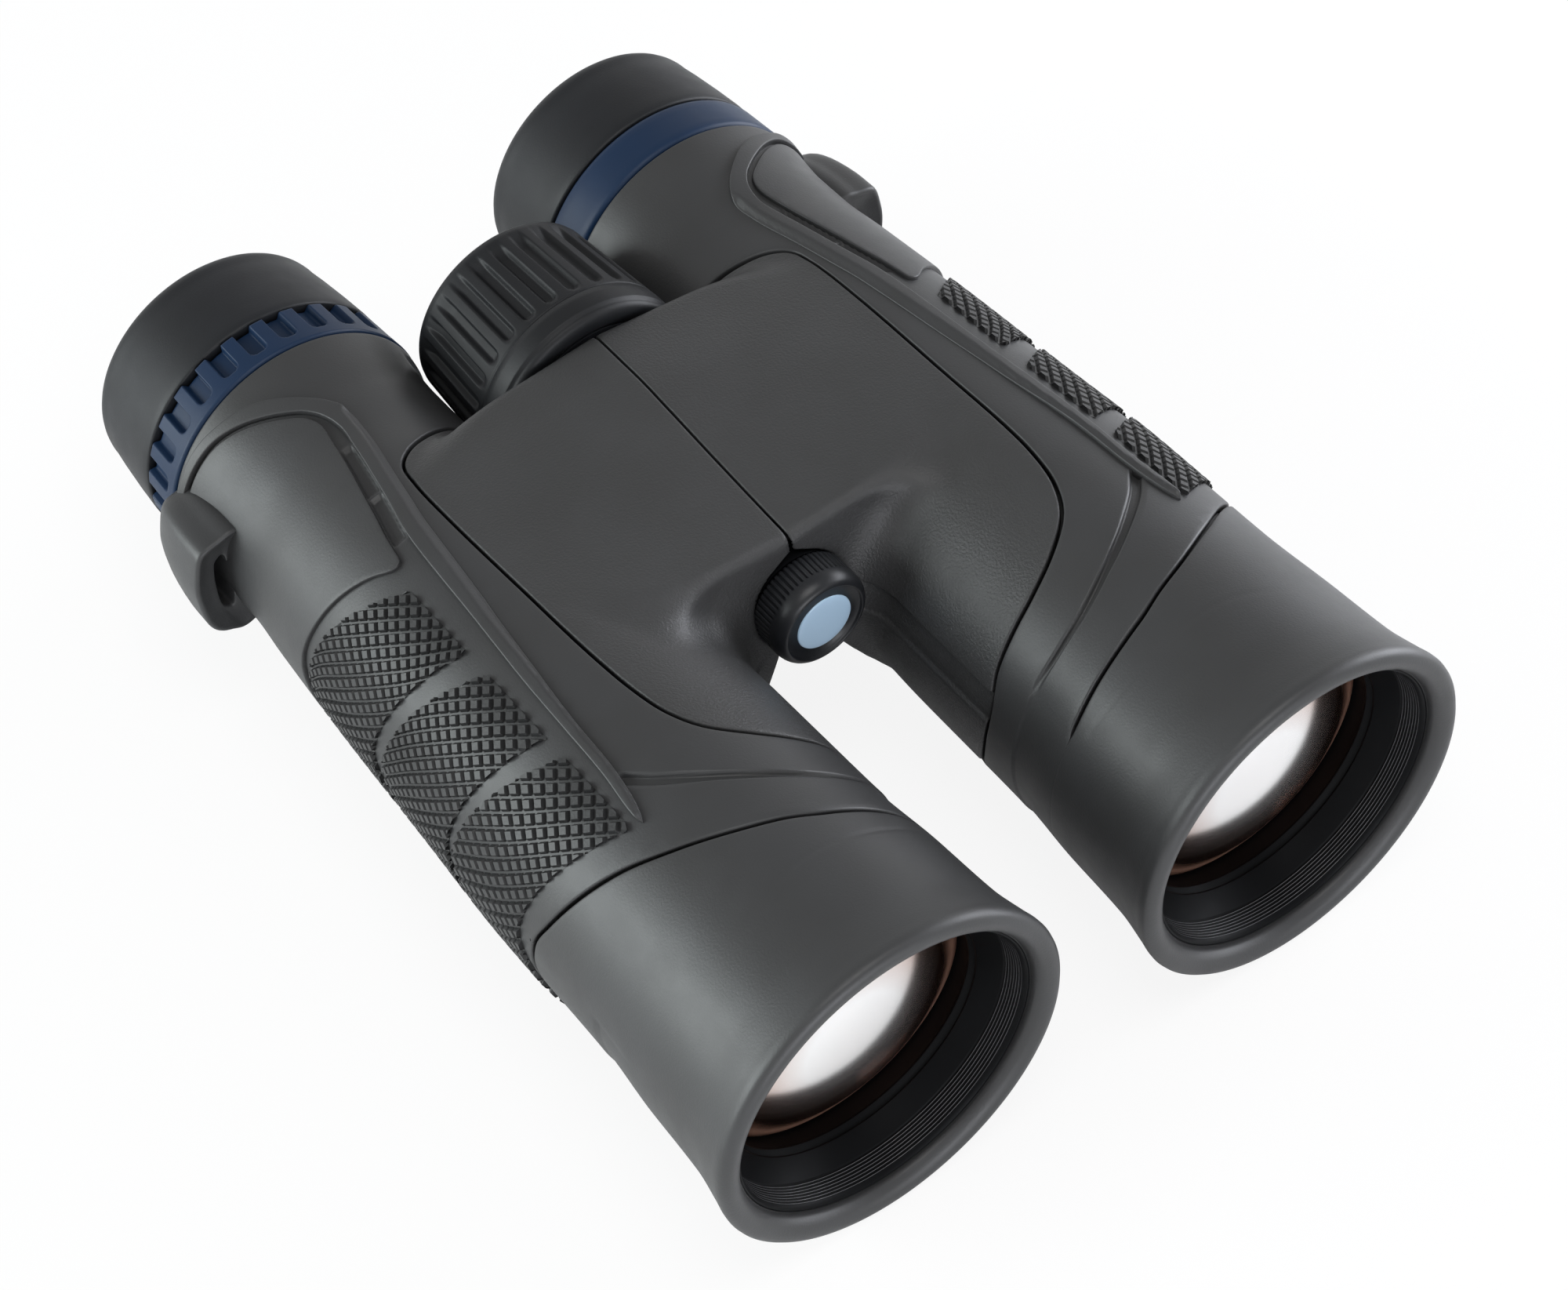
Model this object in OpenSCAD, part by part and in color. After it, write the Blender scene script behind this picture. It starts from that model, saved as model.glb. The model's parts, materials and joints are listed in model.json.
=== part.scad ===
/* [Fit] */
// Distance between the two barrel axes when fully opened
ipd_open = 74; // [72:0.5:78]
// Height of the hinge axis above the barrel axes
hinge_rise = 11.1; // [9:0.1:13]
// Radial clearance of a running fit
run_fit = 0.04; // [0.02:0.01:0.08]
// Gap between parts that pass each other
pass_gap = 0.3; // [0.25:0.05:0.5]

/* [Outer shell] */
// Step from the objective cell out to the front opening
mouth_step = 1.8; // [1.4:0.1:2.2]
// Width of the chamfered lip inside the rim
lip_w = 1.7; // [1:0.1:2.2]
// Width of the rounded rim outside the lip
rim_w = 2.6; // [1.8:0.1:3.4]
// Length of the rounding on the rim
rim_round = 2.6; // [1.5:0.1:4]
// Depth of the rim lip in front of the baffle ring
lip_depth = 2.4; // [1.5:0.1:3]
// Thickness of the rubber over the front flange
bell_skin = 1.7; // [1.4:0.1:2.2]
// Length of the flare behind the rim
flare_len = 6.5; // [4:0.5:10]
// Wall of the barrel tube round the objective cell
tube_wall = 0.9; // [0.8:0.1:1.6]
// Distance from the front to the waist
waist_t = 50; // [46:1:58]
// Wall of the barrel tube at its neck, beside the focus wheel
neck_wall = 1.7; // [1.5:0.1:2.2]
// Length of the straight neck
neck_len = 6; // [3:1:8]
// Rise of the rubber skin from the neck to its rear end
tail_rise = 1.3; // [0.8:0.1:1.8]
// Length of the flare from the neck to the rear end of the rubber skin
tail_len = 9.9; // [8:0.1:12]
// Thickness of the rubber skin on the barrel
skin = 2.2; // [1.8:0.1:2.4]
// Distance from the front to the parting line of bell cover and body skin
parting_t = 37; // [33:1:42]
// Slant of the parting line
parting_slant = 26; // [0:1:35]

/* [Bridge] */
// Distance from the front to the front edge of the bridge plates
bridge_t = 72.4; // [70:0.2:74]
// Length of the bridge plates behind the last hinge lobe
plate_overhang = 2.2; // [1.4:0.2:3.4]
// Height of the bridge web above the barrel axis
web_top = 20.5; // [19.5:0.1:20.8]
// Thickness of a plate at its outer edge, at the front
plate_out_front = 4.9; // [4:0.1:5.5]
// Thickness of a plate at its outer edge, at the rear
plate_out_rear = 2.2; // [1.6:0.1:3]
// Thickness of a plate at the seam, at the front
plate_seam_front = 2.5; // [2:0.1:4]
// Thickness of a plate at the seam, at the rear
plate_seam_rear = 5.5; // [4:0.1:6.5]
// Reach of a plate from the seam towards the barrel
plate_reach = 30; // [27:0.5:33]
// Radius of the hinge lobes
lobe_r = 9.5; // [9:0.1:9.6]
// Length of a rear or front end lobe
end_lobe_len = 6.4; // [5:0.1:6.6]
// Length of a middle lobe
mid_lobe_len = 6.2; // [5:0.1:6.4]
// Space between two lobes for a friction washer
washer_gap = 0.5; // [0.4:0.1:0.6]
// Distance from the front edge of the plates to the first lobe
lobe_inset = 2.8; // [2:0.1:3.5]
// Length of the space for the focus carriage between the middle lobes
carriage_bay = 17; // [16.8:0.1:18]
// Angle kept free under the hinge on each side
underside_angle = 24; // [23:0.5:27]
// Turn of the left barrel from fully open to fully closed
fold_max = 44; // [38:1:44]

/* [Strap lugs] */
// Height of a strap lug
lug_h = 18; // [16:0.5:20]
// Wall of a strap lug above and below its slot
lug_rib = 3.25; // [2.5:0.25:4]
// Length of a strap lug along the barrel
lug_len = 16; // [13:0.5:18]
// Thickness of a lug outside its slot, at its front
lug_wall = 2.5; // [2:0.1:3.5]
// Thickness of a lug outside its slot, at its rear
lug_rear_wall = 1.3; // [1:0.1:2]
// Distance of a lug's middle below the barrel axis
lug_drop = 1.5; // [0:0.5:3]
// Width of the strap slot, outwards
slot_w = 2.4; // [2:0.1:2.6]
// Height of the strap slot's floor over the neck of the barrel
slot_rise = 1.5; // [1.4:0.1:1.8]

/* [Objectives] */
// Diameter of the objective lenses
objective_d = 44; // [42:0.1:46]
// Overlap of the retaining ring on the objective
retainer_lip = 0.8; // [0.6:0.1:1.6]
// Length of the baffle ring
baffle_len = 7.4; // [6:0.1:8]
// Number of anti-reflection grooves in the baffle ring
baffle_grooves = 7; // [3:1:9]
// Thickness of the retaining ring
retainer_t = 1.4; // [1:0.1:2]
// Wall of the objective cell
cell_wall = 1.4; // [1.2:0.1:2]
// Length of the objective cell
cell_len = 15; // [14:0.5:18]
// Edge thickness of the front objective lens
crown_edge = 3.4; // [3:0.1:4]
// Radius of curvature of the front surface
front_curve = 92; // [80:1:120]
// Radius of curvature of the cemented surface
cement_curve = 70; // [65:1:90]
// Edge thickness of the rear objective lens, to the plane of its rear face
flint_edge = 5; // [4.8:0.1:6]

/* [Focusing] */
// Focus travel each way from the middle
focus_travel = 4; // [3:0.1:4.2]
// Wall of the focusing cell
focus_wall = 2.5; // [2:0.1:3]
// Length of the focusing cell
focus_cell_len = 14; // [12:0.5:15]
// Radius of the focusing lens
focus_lens_r = 15; // [14.5:0.1:15.5]
// Thickness of the focusing lens at its edge
focus_lens_t = 4.5; // [4:0.1:6]
// Height of the focusing arms
arm_h = 4.4; // [3:0.1:5]
// Width of the focusing arms along the barrel
arm_w = 5; // [4:0.1:5.4]
// Thickness of the tongue at the end of a focusing arm
tongue_t = 2.4; // [2:0.1:3]
// Radius of the hinge shaft
shaft_r = 5; // [4.8:0.1:5.2]
// Wall of the hinge shaft
shaft_wall = 1.4; // [1.2:0.1:1.6]
// Wall of the focus carriage under its groove
carriage_wall = 1.6; // [1.4:0.1:1.8]
// Depth of the groove in the focus carriage
carriage_groove = 1.9; // [1.5:0.1:2]
// Length of the focus carriage
carriage_len = 6; // [5:0.1:6.6]
// Radius of the focus screw
screw_r = 2; // [1.8:0.1:2.2]
// Length of the prism cage
cage_len = 29.8; // [28:0.1:33]
// Thickness of the sleeve around the carriage
shroud_t = 0.6; // [0.4:0.1:0.7]

/* [Focus wheel] */
// Radius of the focus wheel at its front
wheel_front_r = 17.8; // [17:0.1:18]
// Radius of the focus wheel at its rear
wheel_rear_r = 16.3; // [15.5:0.1:17]
// Length of the focus wheel
wheel_len = 25; // [23:0.5:26]
// Thickness of the rubber on the wheel at its rear
wheel_rubber = 2.4; // [2:0.1:3]
// Length of the smooth band at the front of the wheel
wheel_band = 6; // [4:0.5:8]
// Number of ribs around the wheel
wheel_ribs = 26; // [16:2:32]
// Depth of the grooves between the ribs
wheel_groove = 1; // [0.6:0.1:1.4]

/* [Eyepieces] */
// Length of a blue ring
ring_len = 8.4; // [7:0.1:10]
// Fall of a blue ring's radius from the barrel to the eyecup
ring_fall = 0.4; // [0:0.1:0.8]
// Number of grip pockets around the diopter ring
ring_pockets = 26; // [18:2:32]
// Depth of a grip pocket
pocket_depth = 1.1; // [0.6:0.1:1.6]
// Length of an eyecup
eyecup_len = 18.2; // [17:0.1:20]
// Wall of an eyecup round its guide ring, at its front
eyecup_wall = 3.3; // [2.6:0.1:3.6]
// Fall of an eyecup's radius towards its rear
eyecup_taper = 1.3; // [0.6:0.1:2]
// Radius of the opening of an eyecup
eyecup_mouth_r = 15.2; // [14:0.1:15.5]
// Travel of an eyecup when it is twisted out
eyecup_travel = 8; // [5:0.5:8]
// Length of the rounding on the eyecup's edge
eyecup_round = 3; // [2:0.1:4]
// Wall of the eyepiece tube
eyepiece_wall = 2; // [1.6:0.1:2.3]
// Wall of the eyecup guide ring
guide_ring_wall = 1.4; // [1.1:0.1:1.9]
// Clear radius of the eye lens
eye_lens_r = 12.5; // [11:0.1:14]
// Length of the field lens cell
field_cell_len = 9; // [8:0.1:9.5]
// Diopter travel each way from the middle
diopter_travel = 1.2; // [0.8:0.1:1.3]

/* [Front cap] */
// Radius of the front cap
cap_r = 8.2; // [7.6:0.1:8.8]
// Length of the front cap
cap_len = 7; // [6:0.1:8]
// Radius of the inlay disc
inlay_r = 5.6; // [5:0.1:6]
// Number of notches around the front cap
cap_notches = 44; // [24:2:60]
// Radius of the tripod socket
socket_r = 3.175; // [3:0.005:3.2]
// Length of the tripod socket
socket_len = 9; // [8:0.5:10]

/* [Hidden] */
$fn = 96;
RIGHT = -1;
LEFT = 1;
cut = 1; // how far a cutting shape runs past what it cuts

// Stations are distances from the front plane of the objectives.
objective_r = objective_d / 2;
clear_r = objective_r - retainer_lip;
cell_r = objective_r + cell_wall;
mouth_r = cell_r + mouth_step;
lip_r = mouth_r + lip_w;
rim_r = lip_r + rim_w;
axis_z = rim_r;
hinge_z = axis_z + hinge_rise;
hinge_to_barrel = norm([ipd_open / 2, hinge_rise]);
web_dip = atan2(hinge_rise, ipd_open / 2);

// Lobes and the bay of the focus carriage, from front to rear
lobe_1 = bridge_t + lobe_inset;
lobe_2 = lobe_1 + end_lobe_len + washer_gap;
bay_t = lobe_2 + mid_lobe_len + pass_gap;
lobe_3 = bay_t + carriage_bay + pass_gap;
lobe_4 = lobe_3 + mid_lobe_len + washer_gap;
web_end = lobe_4 + end_lobe_len;
bridge_len = web_end + plate_overhang - bridge_t;
focus_t = bay_t + carriage_bay / 2;
sweep_r = lobe_r + pass_gap; // clear radius round the lobes of the other barrel

// Barrel, from the focusing cell to the eyecup
focus_reach = focus_cell_len / 2 + focus_travel; // from the middle to the far end of its travel
guide_lead = 5.5; // straight bore in front of the focusing cell
guide_t = focus_t - focus_reach - guide_lead;
stop_gap = 1; // air between the focusing cell and the prism cage
prism_t = focus_t + focus_reach + stop_gap;
eyepiece_t = prism_t + cage_len;
eyepiece_sunk = 11; // length of the eyepiece tube inside the barrel
body_len = eyepiece_t + eyepiece_sunk;
neck_t = body_len - tail_len - neck_len;
overall_len = body_len + ring_len + eyecup_len;
front_y = -overall_len / 2;

// Chassis
flange_wall = 1; // wall of the front flange round the baffle ring
flange_r = mouth_r + flange_wall;
bell_r = flange_r + bell_skin;
flange_len = baffle_len + flange_wall;
flange_cone = 2; // length of the cone behind the flange
tube_r = cell_r + tube_wall;
waist_r = tube_r + skin;
guide_r = focus_lens_r + focus_wall; // bore for the focusing cell, prisms and eyepiece
neck_tube_r = guide_r + neck_wall;
neck_r = neck_tube_r + skin;
tail_r = neck_r + tail_rise;
slot_h = lug_h - 2 * lug_rib;
slot_floor_r = neck_r + slot_rise;
lug_r = slot_floor_r + slot_w + lug_wall;
lug_rear_r = slot_floor_r + slot_w + lug_rear_wall;
collar_len = 4; // length of the eyepiece tube's collar behind the chassis
chassis_end = body_len - collar_len;
web_foot_angle = 33; // how far below the barrel axis the web meets the tube
web_wall = 2; // web left between the lobe and its underside

// Optics
baffle_t = lip_depth;
baffle_end = baffle_t + baffle_len;
cell_t = baffle_end;
lens_t = cell_t + retainer_t;
cement_t = lens_t + crown_edge;
flint_t = cement_t + flint_edge;
cell_seat = 1.6; // ledge behind the objective
pocket_x = 25;
pocket_y = 22;
cage_wall = 2;
prism_air = 0.5;
aperture_r = 9.5;
prism_thin = 6;
prism_thick = 15;
focus_lip = 1.5;
focus_curve = 60;
eyepiece_bore_r = guide_r - eyepiece_wall;
field_lens_r = eyepiece_bore_r - 2.3;
field_lens_t = 4.5;
eye_curve = 55;
eye_retainer_t = 2;
eye_lens_len = 8; // from its front face to the end of the eyepiece tube

// Eyepiece rings
ring_rear_r = tail_r - ring_fall;
guide_ring_r = guide_r + guide_ring_wall;
eyecup_r = guide_ring_r + eyecup_wall;
eyecup_rear_r = eyecup_r - eyecup_taper;
ring_t = body_len + pass_gap / 2;
ring_end = body_len + ring_len;
eyecup_t = ring_end + pass_gap;
guide_ring_t = ring_end + pass_gap;
guide_ring_len = 12;
cam_depth = 1.6;
pin_r = 0.9;
pin_seat_r = field_lens_r + 0.8; // the pin's bore ends short of the field lens
pin_t = ring_t + ring_len / 2;
field_cell_t = pin_t - field_cell_len / 2;
eyepiece_end = guide_ring_t + guide_ring_len + pass_gap;
eye_lens_t = eyepiece_end - eye_lens_len;

// Focus wheel and front end
wheel_t = bridge_t + bridge_len + pass_gap * 2;
wheel_end = wheel_t + wheel_len;
wheel_clear_r = wheel_front_r + pass_gap;
wheel_edge = 0.7;
wheel_cap_r = 11.5;
hub_r = wheel_rear_r - wheel_rubber;
shaft_bore_r = shaft_r - shaft_wall;
carriage_groove_r = shaft_r + carriage_wall;
carriage_r = carriage_groove_r + carriage_groove;
shaft_in_wheel = 14; // length of the hinge shaft inside the wheel
shaft_end = wheel_t + shaft_in_wheel;
hub_web = 2; // wall between the shaft and the screw's flange
screw_flange_t = shaft_end + hub_web;
screw_flange_len = 2.5;
screw_flange_r = 6;
screw_flange_end = screw_flange_t + screw_flange_len;
nut_half = 4; // half the length of the focus nut
cross_pin_r = 1.2;
cross_pin_root = 0.6; // how deep the cross pins sit in the nut
insert_r = socket_r + 1.1;
bush_wall = 1.2;
nut_r = 7.6;
inlay_t = 1.2;
inlay_recess = 0.2; // the inlay lies this far behind the cap's face
cap_wall = 1.9; // wall between the inlay and the end of the shaft
nut_len = 3.4;
nut_t = lobe_1 - pass_gap - nut_len;
cap_t = nut_t - pass_gap - cap_len;
shaft_t = cap_t + inlay_t + cap_wall + pass_gap;

// Outer line of the rubber: [radius, station]
rim_line = [for (a = [0:15:90]) [lip_r + (rim_r - lip_r) * sin(a), rim_round * (1 - cos(a))]];
shell_line = concat(rim_line, [
  [bell_r, rim_round + flare_len], [waist_r, waist_t], [neck_r, neck_t],
  [neck_r, neck_t + neck_len], [tail_r, body_len]
]);
// Outer line of the chassis tube, which is the inner line of the rubber
chassis_line = [
  [flange_r, baffle_t], [flange_r, baffle_t + flange_len],
  [tube_r, baffle_t + flange_len + flange_cone],
  [tube_r, waist_t], [neck_tube_r, neck_t], [neck_tube_r, chassis_end]
];
// Bores of the chassis tube
chassis_bore = [
  [guide_r, chassis_end], [guide_r, guide_t], [cell_r - cell_seat, waist_t],
  [cell_r - cell_seat, cell_t + cell_len], [cell_r, cell_t + cell_len], [cell_r, baffle_end],
  [mouth_r, baffle_end], [mouth_r, baffle_t]
];

function reversed(list) = [for (i = [len(list) - 1:-1:0]) list[i]];

module on_side(side) {
  if (side == RIGHT) mirror([1, 0, 0]) children();
  else children();
}

// Local z runs along the barrel from the front, local x points outwards, local y points down.
module along_barrel() {
  translate([ipd_open / 2, front_y, axis_z]) rotate([-90, 0, 0]) children();
}

module along_hinge() {
  translate([0, front_y, hinge_z]) rotate([-90, 0, 0]) children();
}

// Local x points from the hinge axis to the axis of the barrel.
module towards_barrel() {
  along_hinge() rotate([0, 0, web_dip]) children();
}

module rod(t, length, r) {
  translate([0, 0, t]) cylinder(h = length, r = r);
}

module ring(t, length, r_out, r_in) {
  difference() {
    rod(t, length, r_out);
    rod(t - cut, length + 2 * cut, r_in);
  }
}

module turned(points) {
  rotate_extrude() polygon(points);
}

// Everything that the turning wheel needs, cut from the barrels
module wheel_room() {
  along_hinge() rod(bridge_t + bridge_len, wheel_len + 3 * pass_gap, wheel_clear_r);
}

// Cross-section of the bridge web between the hinge and the barrel axis
module web_section() {
  half = ipd_open / 2;
  foot = [half, axis_z] - neck_tube_r * [cos(web_foot_angle), sin(web_foot_angle)];
  polygon([
    [0, axis_z + web_top], [half, axis_z + web_top], [half, foot[1]], foot,
    [lobe_r * tan(underside_angle) + web_wall, hinge_z - lobe_r - web_wall], [0, hinge_z]
  ]);
}

module web_block(t, length) {
  translate([0, front_y + t, 0]) rotate([90, 0, 0]) mirror([0, 0, 1])
    linear_extrude(height = length) web_section();
}

// The free path of a focusing arm through the web and the tube wall
module arm_path(gap) {
  arm_room = arm_w + 2 * focus_travel + 2 * gap;
  towards_barrel()
    translate([0, -arm_h / 2 - gap, focus_t - arm_room / 2])
      cube([hinge_to_barrel - focus_lens_r, arm_h + 2 * gap, arm_room]);
}

module chassis(side) {
  own_lobes = side == RIGHT
    ? [[lobe_1, end_lobe_len], [lobe_4, end_lobe_len]]
    : [[lobe_2, mid_lobe_len], [lobe_3, mid_lobe_len]];
  bay_r = side == RIGHT ? lobe_r : sweep_r;
  bush_r = side == RIGHT ? shaft_r : shaft_r + bush_wall;
  color("#3a3b3c") on_side(side) difference() {
    union() {
      along_barrel() turned(concat([[0, baffle_t]], chassis_line, [[0, chassis_end]]));
      difference() {
        web_block(lobe_1, web_end - lobe_1);
        along_hinge() {
          rod(lobe_1 - cut, bay_t - lobe_1 + cut, sweep_r);
          rod(bay_t - cut, carriage_bay + 2 * cut, bay_r);
          rod(bay_t + carriage_bay, web_end - bay_t - carriage_bay + cut, sweep_r);
        }
      }
      for (lobe = own_lobes) {
        along_hinge() rod(lobe[0], lobe[1], lobe_r);
        web_block(lobe[0], lobe[1]);
      }
    }
    along_barrel() turned(concat(
      [[0, chassis_end + cut], [guide_r, chassis_end + cut]], chassis_bore,
      [[mouth_r, baffle_t - cut], [0, baffle_t - cut]]));
    along_hinge() rod(lobe_1 - cut, web_end - lobe_1 + 2 * cut, bush_r);
    arm_path(pass_gap);
    wheel_room();
  }
}

// The full rubber skin of one barrel, before it is parted
module shell() {
  along_barrel() turned(concat(
    shell_line, [[neck_tube_r, body_len]], reversed(chassis_line), [[mouth_r, baffle_t]]));
}

// The half of space in front of the slanting parting line
module parting_side() {
  size = 8 * rim_r;
  along_barrel() translate([0, 0, parting_t]) rotate([0, -parting_slant, 0])
    translate([-size / 2, -size / 2, -size]) cube(size);
}

module bell_cover(side) {
  color("#4a4b4c") on_side(side) intersection() {
    shell();
    parting_side();
  }
}

module lug_block() {
  rear_gap = 1;
  end = lug_len - rear_gap;
  along_barrel() translate([0, lug_drop, body_len - lug_len])
    rotate([90, 0, 0]) translate([0, 0, -lug_h / 2]) linear_extrude(height = lug_h)
      polygon([[neck_tube_r, 0], [lug_r, 0], [lug_rear_r, end], [neck_tube_r, end]]);
}

module body_skin(side) {
  color("#4a4b4c") on_side(side) difference() {
    union() {
      difference() {
        shell();
        parting_side();
      }
      difference() {
        lug_block();
        along_barrel() turned([
          [0, 0], [neck_tube_r, 0], [neck_tube_r, body_len], [0, body_len]
        ]);
      }
    }
    along_barrel()
      translate([slot_floor_r, lug_drop - slot_h / 2, body_len - lug_len - cut])
        cube([slot_w, slot_h, lug_len + 2 * cut]);
    web_block(lobe_1, web_end - lobe_1);
    wheel_room();
  }
}

// A slab with a level underside whose top slants between the heights at its four corners
module bridge_plate(side) {
  inner = pass_gap / 2;
  corner = 0.02;
  rear_t = bridge_t + bridge_len - corner;
  corners = [
    [inner, bridge_t, plate_seam_front], [inner, rear_t, plate_seam_rear],
    [plate_reach, bridge_t, plate_out_front], [plate_reach, rear_t, plate_out_rear]
  ];
  color("#454647") on_side(side) difference() {
    hull()
      for (p = corners, height = [0, p[2] - corner])
        translate([p[0], front_y + p[1], axis_z + web_top + height]) cube(corner);
    along_hinge() rod(bridge_t - cut, bridge_len + 2 * cut, sweep_r);
    along_barrel() turned(concat([[0, 0]], shell_line, [[0, body_len]]));
  }
}

module baffle_ring(side) {
  grooved_len = baffle_len / 2;
  pitch = grooved_len / baffle_grooves;
  edge_r = mouth_r - 0.7;
  step_in = 0.1;
  groove_depth = 0.4;
  end_wall = 0.3;
  groove_line = [for (i = [0:baffle_grooves - 1]) each [
    [edge_r - step_in * i, baffle_t + pitch * i],
    [edge_r - step_in * i + groove_depth, baffle_t + pitch * (i + 0.5)]
  ]];
  color("#101114") on_side(side) along_barrel() turned(concat(groove_line, [
    [edge_r - step_in * baffle_grooves, baffle_t + grooved_len], [clear_r + end_wall, baffle_end],
    [mouth_r, baffle_end], [mouth_r, baffle_t]
  ]));
}

module lens_retainer(side) {
  color("#15161a") on_side(side) along_barrel() ring(cell_t, retainer_t, objective_r, clear_r);
}

module objective_cell(side) {
  color("#202124") on_side(side) along_barrel() difference() {
    rod(cell_t, cell_len, cell_r);
    rod(cell_t - cut, flint_t - cell_t + cut, objective_r);
    rod(flint_t - cut, cell_len, objective_r - cell_seat);
  }
}

function sag_of(curve, r) = curve - sqrt(curve * curve - r * r);

// The ball whose surface is the cemented face of the doublet
module cement_ball() {
  translate([0, 0, cement_t - cement_curve + sag_of(cement_curve, objective_r)])
    sphere(r = cement_curve);
}

module crown_lens(side) {
  bulge = sag_of(front_curve, clear_r);
  color("#7d6a6a") on_side(side) along_barrel() intersection() {
    rod(lens_t - bulge - cut, flint_t - lens_t + bulge + cut, objective_r);
    translate([0, 0, lens_t - bulge + front_curve]) sphere(r = front_curve);
    cement_ball();
  }
}

module flint_lens(side) {
  color("#6a6f7a") on_side(side) along_barrel() difference() {
    rod(cement_t, flint_edge, objective_r);
    cement_ball();
  }
}

module focus_cell(side) {
  front = focus_t - focus_cell_len / 2;
  arm_end = hinge_to_barrel - focus_lens_r - focus_lip;
  color("#8b8d90") on_side(side) difference() {
    union() {
      along_barrel() rod(front, focus_cell_len, guide_r - run_fit);
      towards_barrel() {
        translate([sweep_r, -arm_h / 2, focus_t - arm_w / 2]) cube([arm_end - sweep_r, arm_h, arm_w]);
        translate([carriage_groove_r + pass_gap, -arm_h / 2, focus_t - tongue_t / 2])
          cube([sweep_r - carriage_groove_r, arm_h, tongue_t]);
      }
    }
    along_barrel() {
      rod(front - cut, focus_cell_len, focus_lens_r - focus_lip);
      rod(front + focus_lip, focus_cell_len, focus_lens_r);
    }
  }
}

module focus_lens(side) {
  front = focus_t - focus_cell_len / 2 + focus_lip;
  dish = focus_lens_t / 2;
  color("#8a97a5") on_side(side) along_barrel() difference() {
    rod(front, focus_lens_t, focus_lens_r);
    translate([0, 0, front + focus_lens_t - dish + focus_curve]) sphere(r = focus_curve);
  }
}

module prism_cage(side) {
  color("#303235") on_side(side) along_barrel() difference() {
    rod(prism_t, cage_len, guide_r);
    translate([-pocket_x / 2, -pocket_y / 2, prism_t + cage_wall]) cube([pocket_x, pocket_y, cage_len]);
    rod(prism_t - cut, cage_len, aperture_r);
  }
}

// A prism from its outline: x across the barrel, and the station along it
module prism(outline) {
  rotate([90, 0, 0]) translate([0, 0, -pocket_y / 2]) linear_extrude(height = pocket_y) polygon(outline);
}

module half_prism(side) {
  x = pocket_x / 2;
  t = prism_t + cage_wall;
  color("#a8b4be") on_side(side) along_barrel()
    prism([[-x, t], [x, t], [x, t + prism_thin], [-x, t + prism_thick]]);
}

module roof_prism(side) {
  x = pocket_x / 2;
  t = prism_t + cage_wall + prism_air;
  color("#b4bec8") on_side(side) along_barrel()
    prism([[-x, t + prism_thick], [x, t + prism_thin], [x, eyepiece_t], [-x, eyepiece_t]]);
}

module eyepiece_tube(side) {
  slot_len = 2 * (pin_r + diopter_travel + pass_gap);
  slot_w = 2 * (pin_r + run_fit);
  color("#1d1e21") on_side(side) along_barrel() difference() {
    union() {
      rod(eyepiece_t, eyepiece_end - eyepiece_t, guide_r);
      rod(chassis_end, body_len - chassis_end, neck_tube_r);
    }
    rod(eyepiece_t - cut, eyepiece_end - eyepiece_t, aperture_r);
    rod(eyepiece_t + cage_wall, eyepiece_end - eyepiece_t, eyepiece_bore_r);
    if (side == RIGHT)
      translate([-slot_w / 2, -guide_r - cut, pin_t - slot_len / 2])
        cube([slot_w, guide_r + cut - field_lens_r, slot_len]);
  }
}

// A pin's bore or shaft that points up from the barrel axis at the diopter ring
module upright_pin(r_from, r_to, r) {
  translate([0, 0, pin_t]) rotate([90, 0, 0]) rod(r_from, r_to - r_from, r);
}

module field_cell(side) {
  color("#26272b") on_side(side) along_barrel() difference() {
    rod(field_cell_t, field_cell_len, eyepiece_bore_r - (side == RIGHT ? run_fit : 0));
    rod(field_cell_t - cut, field_cell_len, field_lens_r - focus_lip);
    rod(field_cell_t + focus_lip, field_cell_len, field_lens_r);
    if (side == RIGHT) upright_pin(pin_seat_r, guide_r, pin_r);
  }
}

module diopter_pin() {
  color("#b9bbbe") on_side(RIGHT) along_barrel()
    upright_pin(pin_seat_r, guide_r + cam_depth - pass_gap, pin_r);
}

module field_lens(side) {
  color("#9aa7b4") on_side(side) along_barrel() intersection() {
    rod(field_cell_t + focus_lip, field_lens_t, field_lens_r);
    translate([0, 0, field_cell_t + focus_lip + field_lens_t - eye_curve]) sphere(r = eye_curve);
  }
}

module eye_lens(side) {
  color("#6f7f9a") on_side(side) along_barrel() intersection() {
    rod(eye_lens_t, eyepiece_end - eye_lens_t, eyepiece_bore_r);
    translate([0, 0, eyepiece_end - eye_retainer_t + sag_of(eye_curve, eye_lens_r) - eye_curve])
      sphere(r = eye_curve);
  }
}

module eye_retainer(side) {
  color("#15161a") on_side(side) along_barrel() difference() {
    rod(eyepiece_end - eye_retainer_t, eye_retainer_t, eyepiece_bore_r);
    rod(eyepiece_end - eye_retainer_t - cut, eye_retainer_t + 2 * cut, eye_lens_r);
  }
}

module blue_ring(bore_r) {
  turned([[bore_r, ring_t], [tail_r, ring_t], [ring_rear_r, ring_end], [bore_r, ring_end]]);
}

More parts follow.
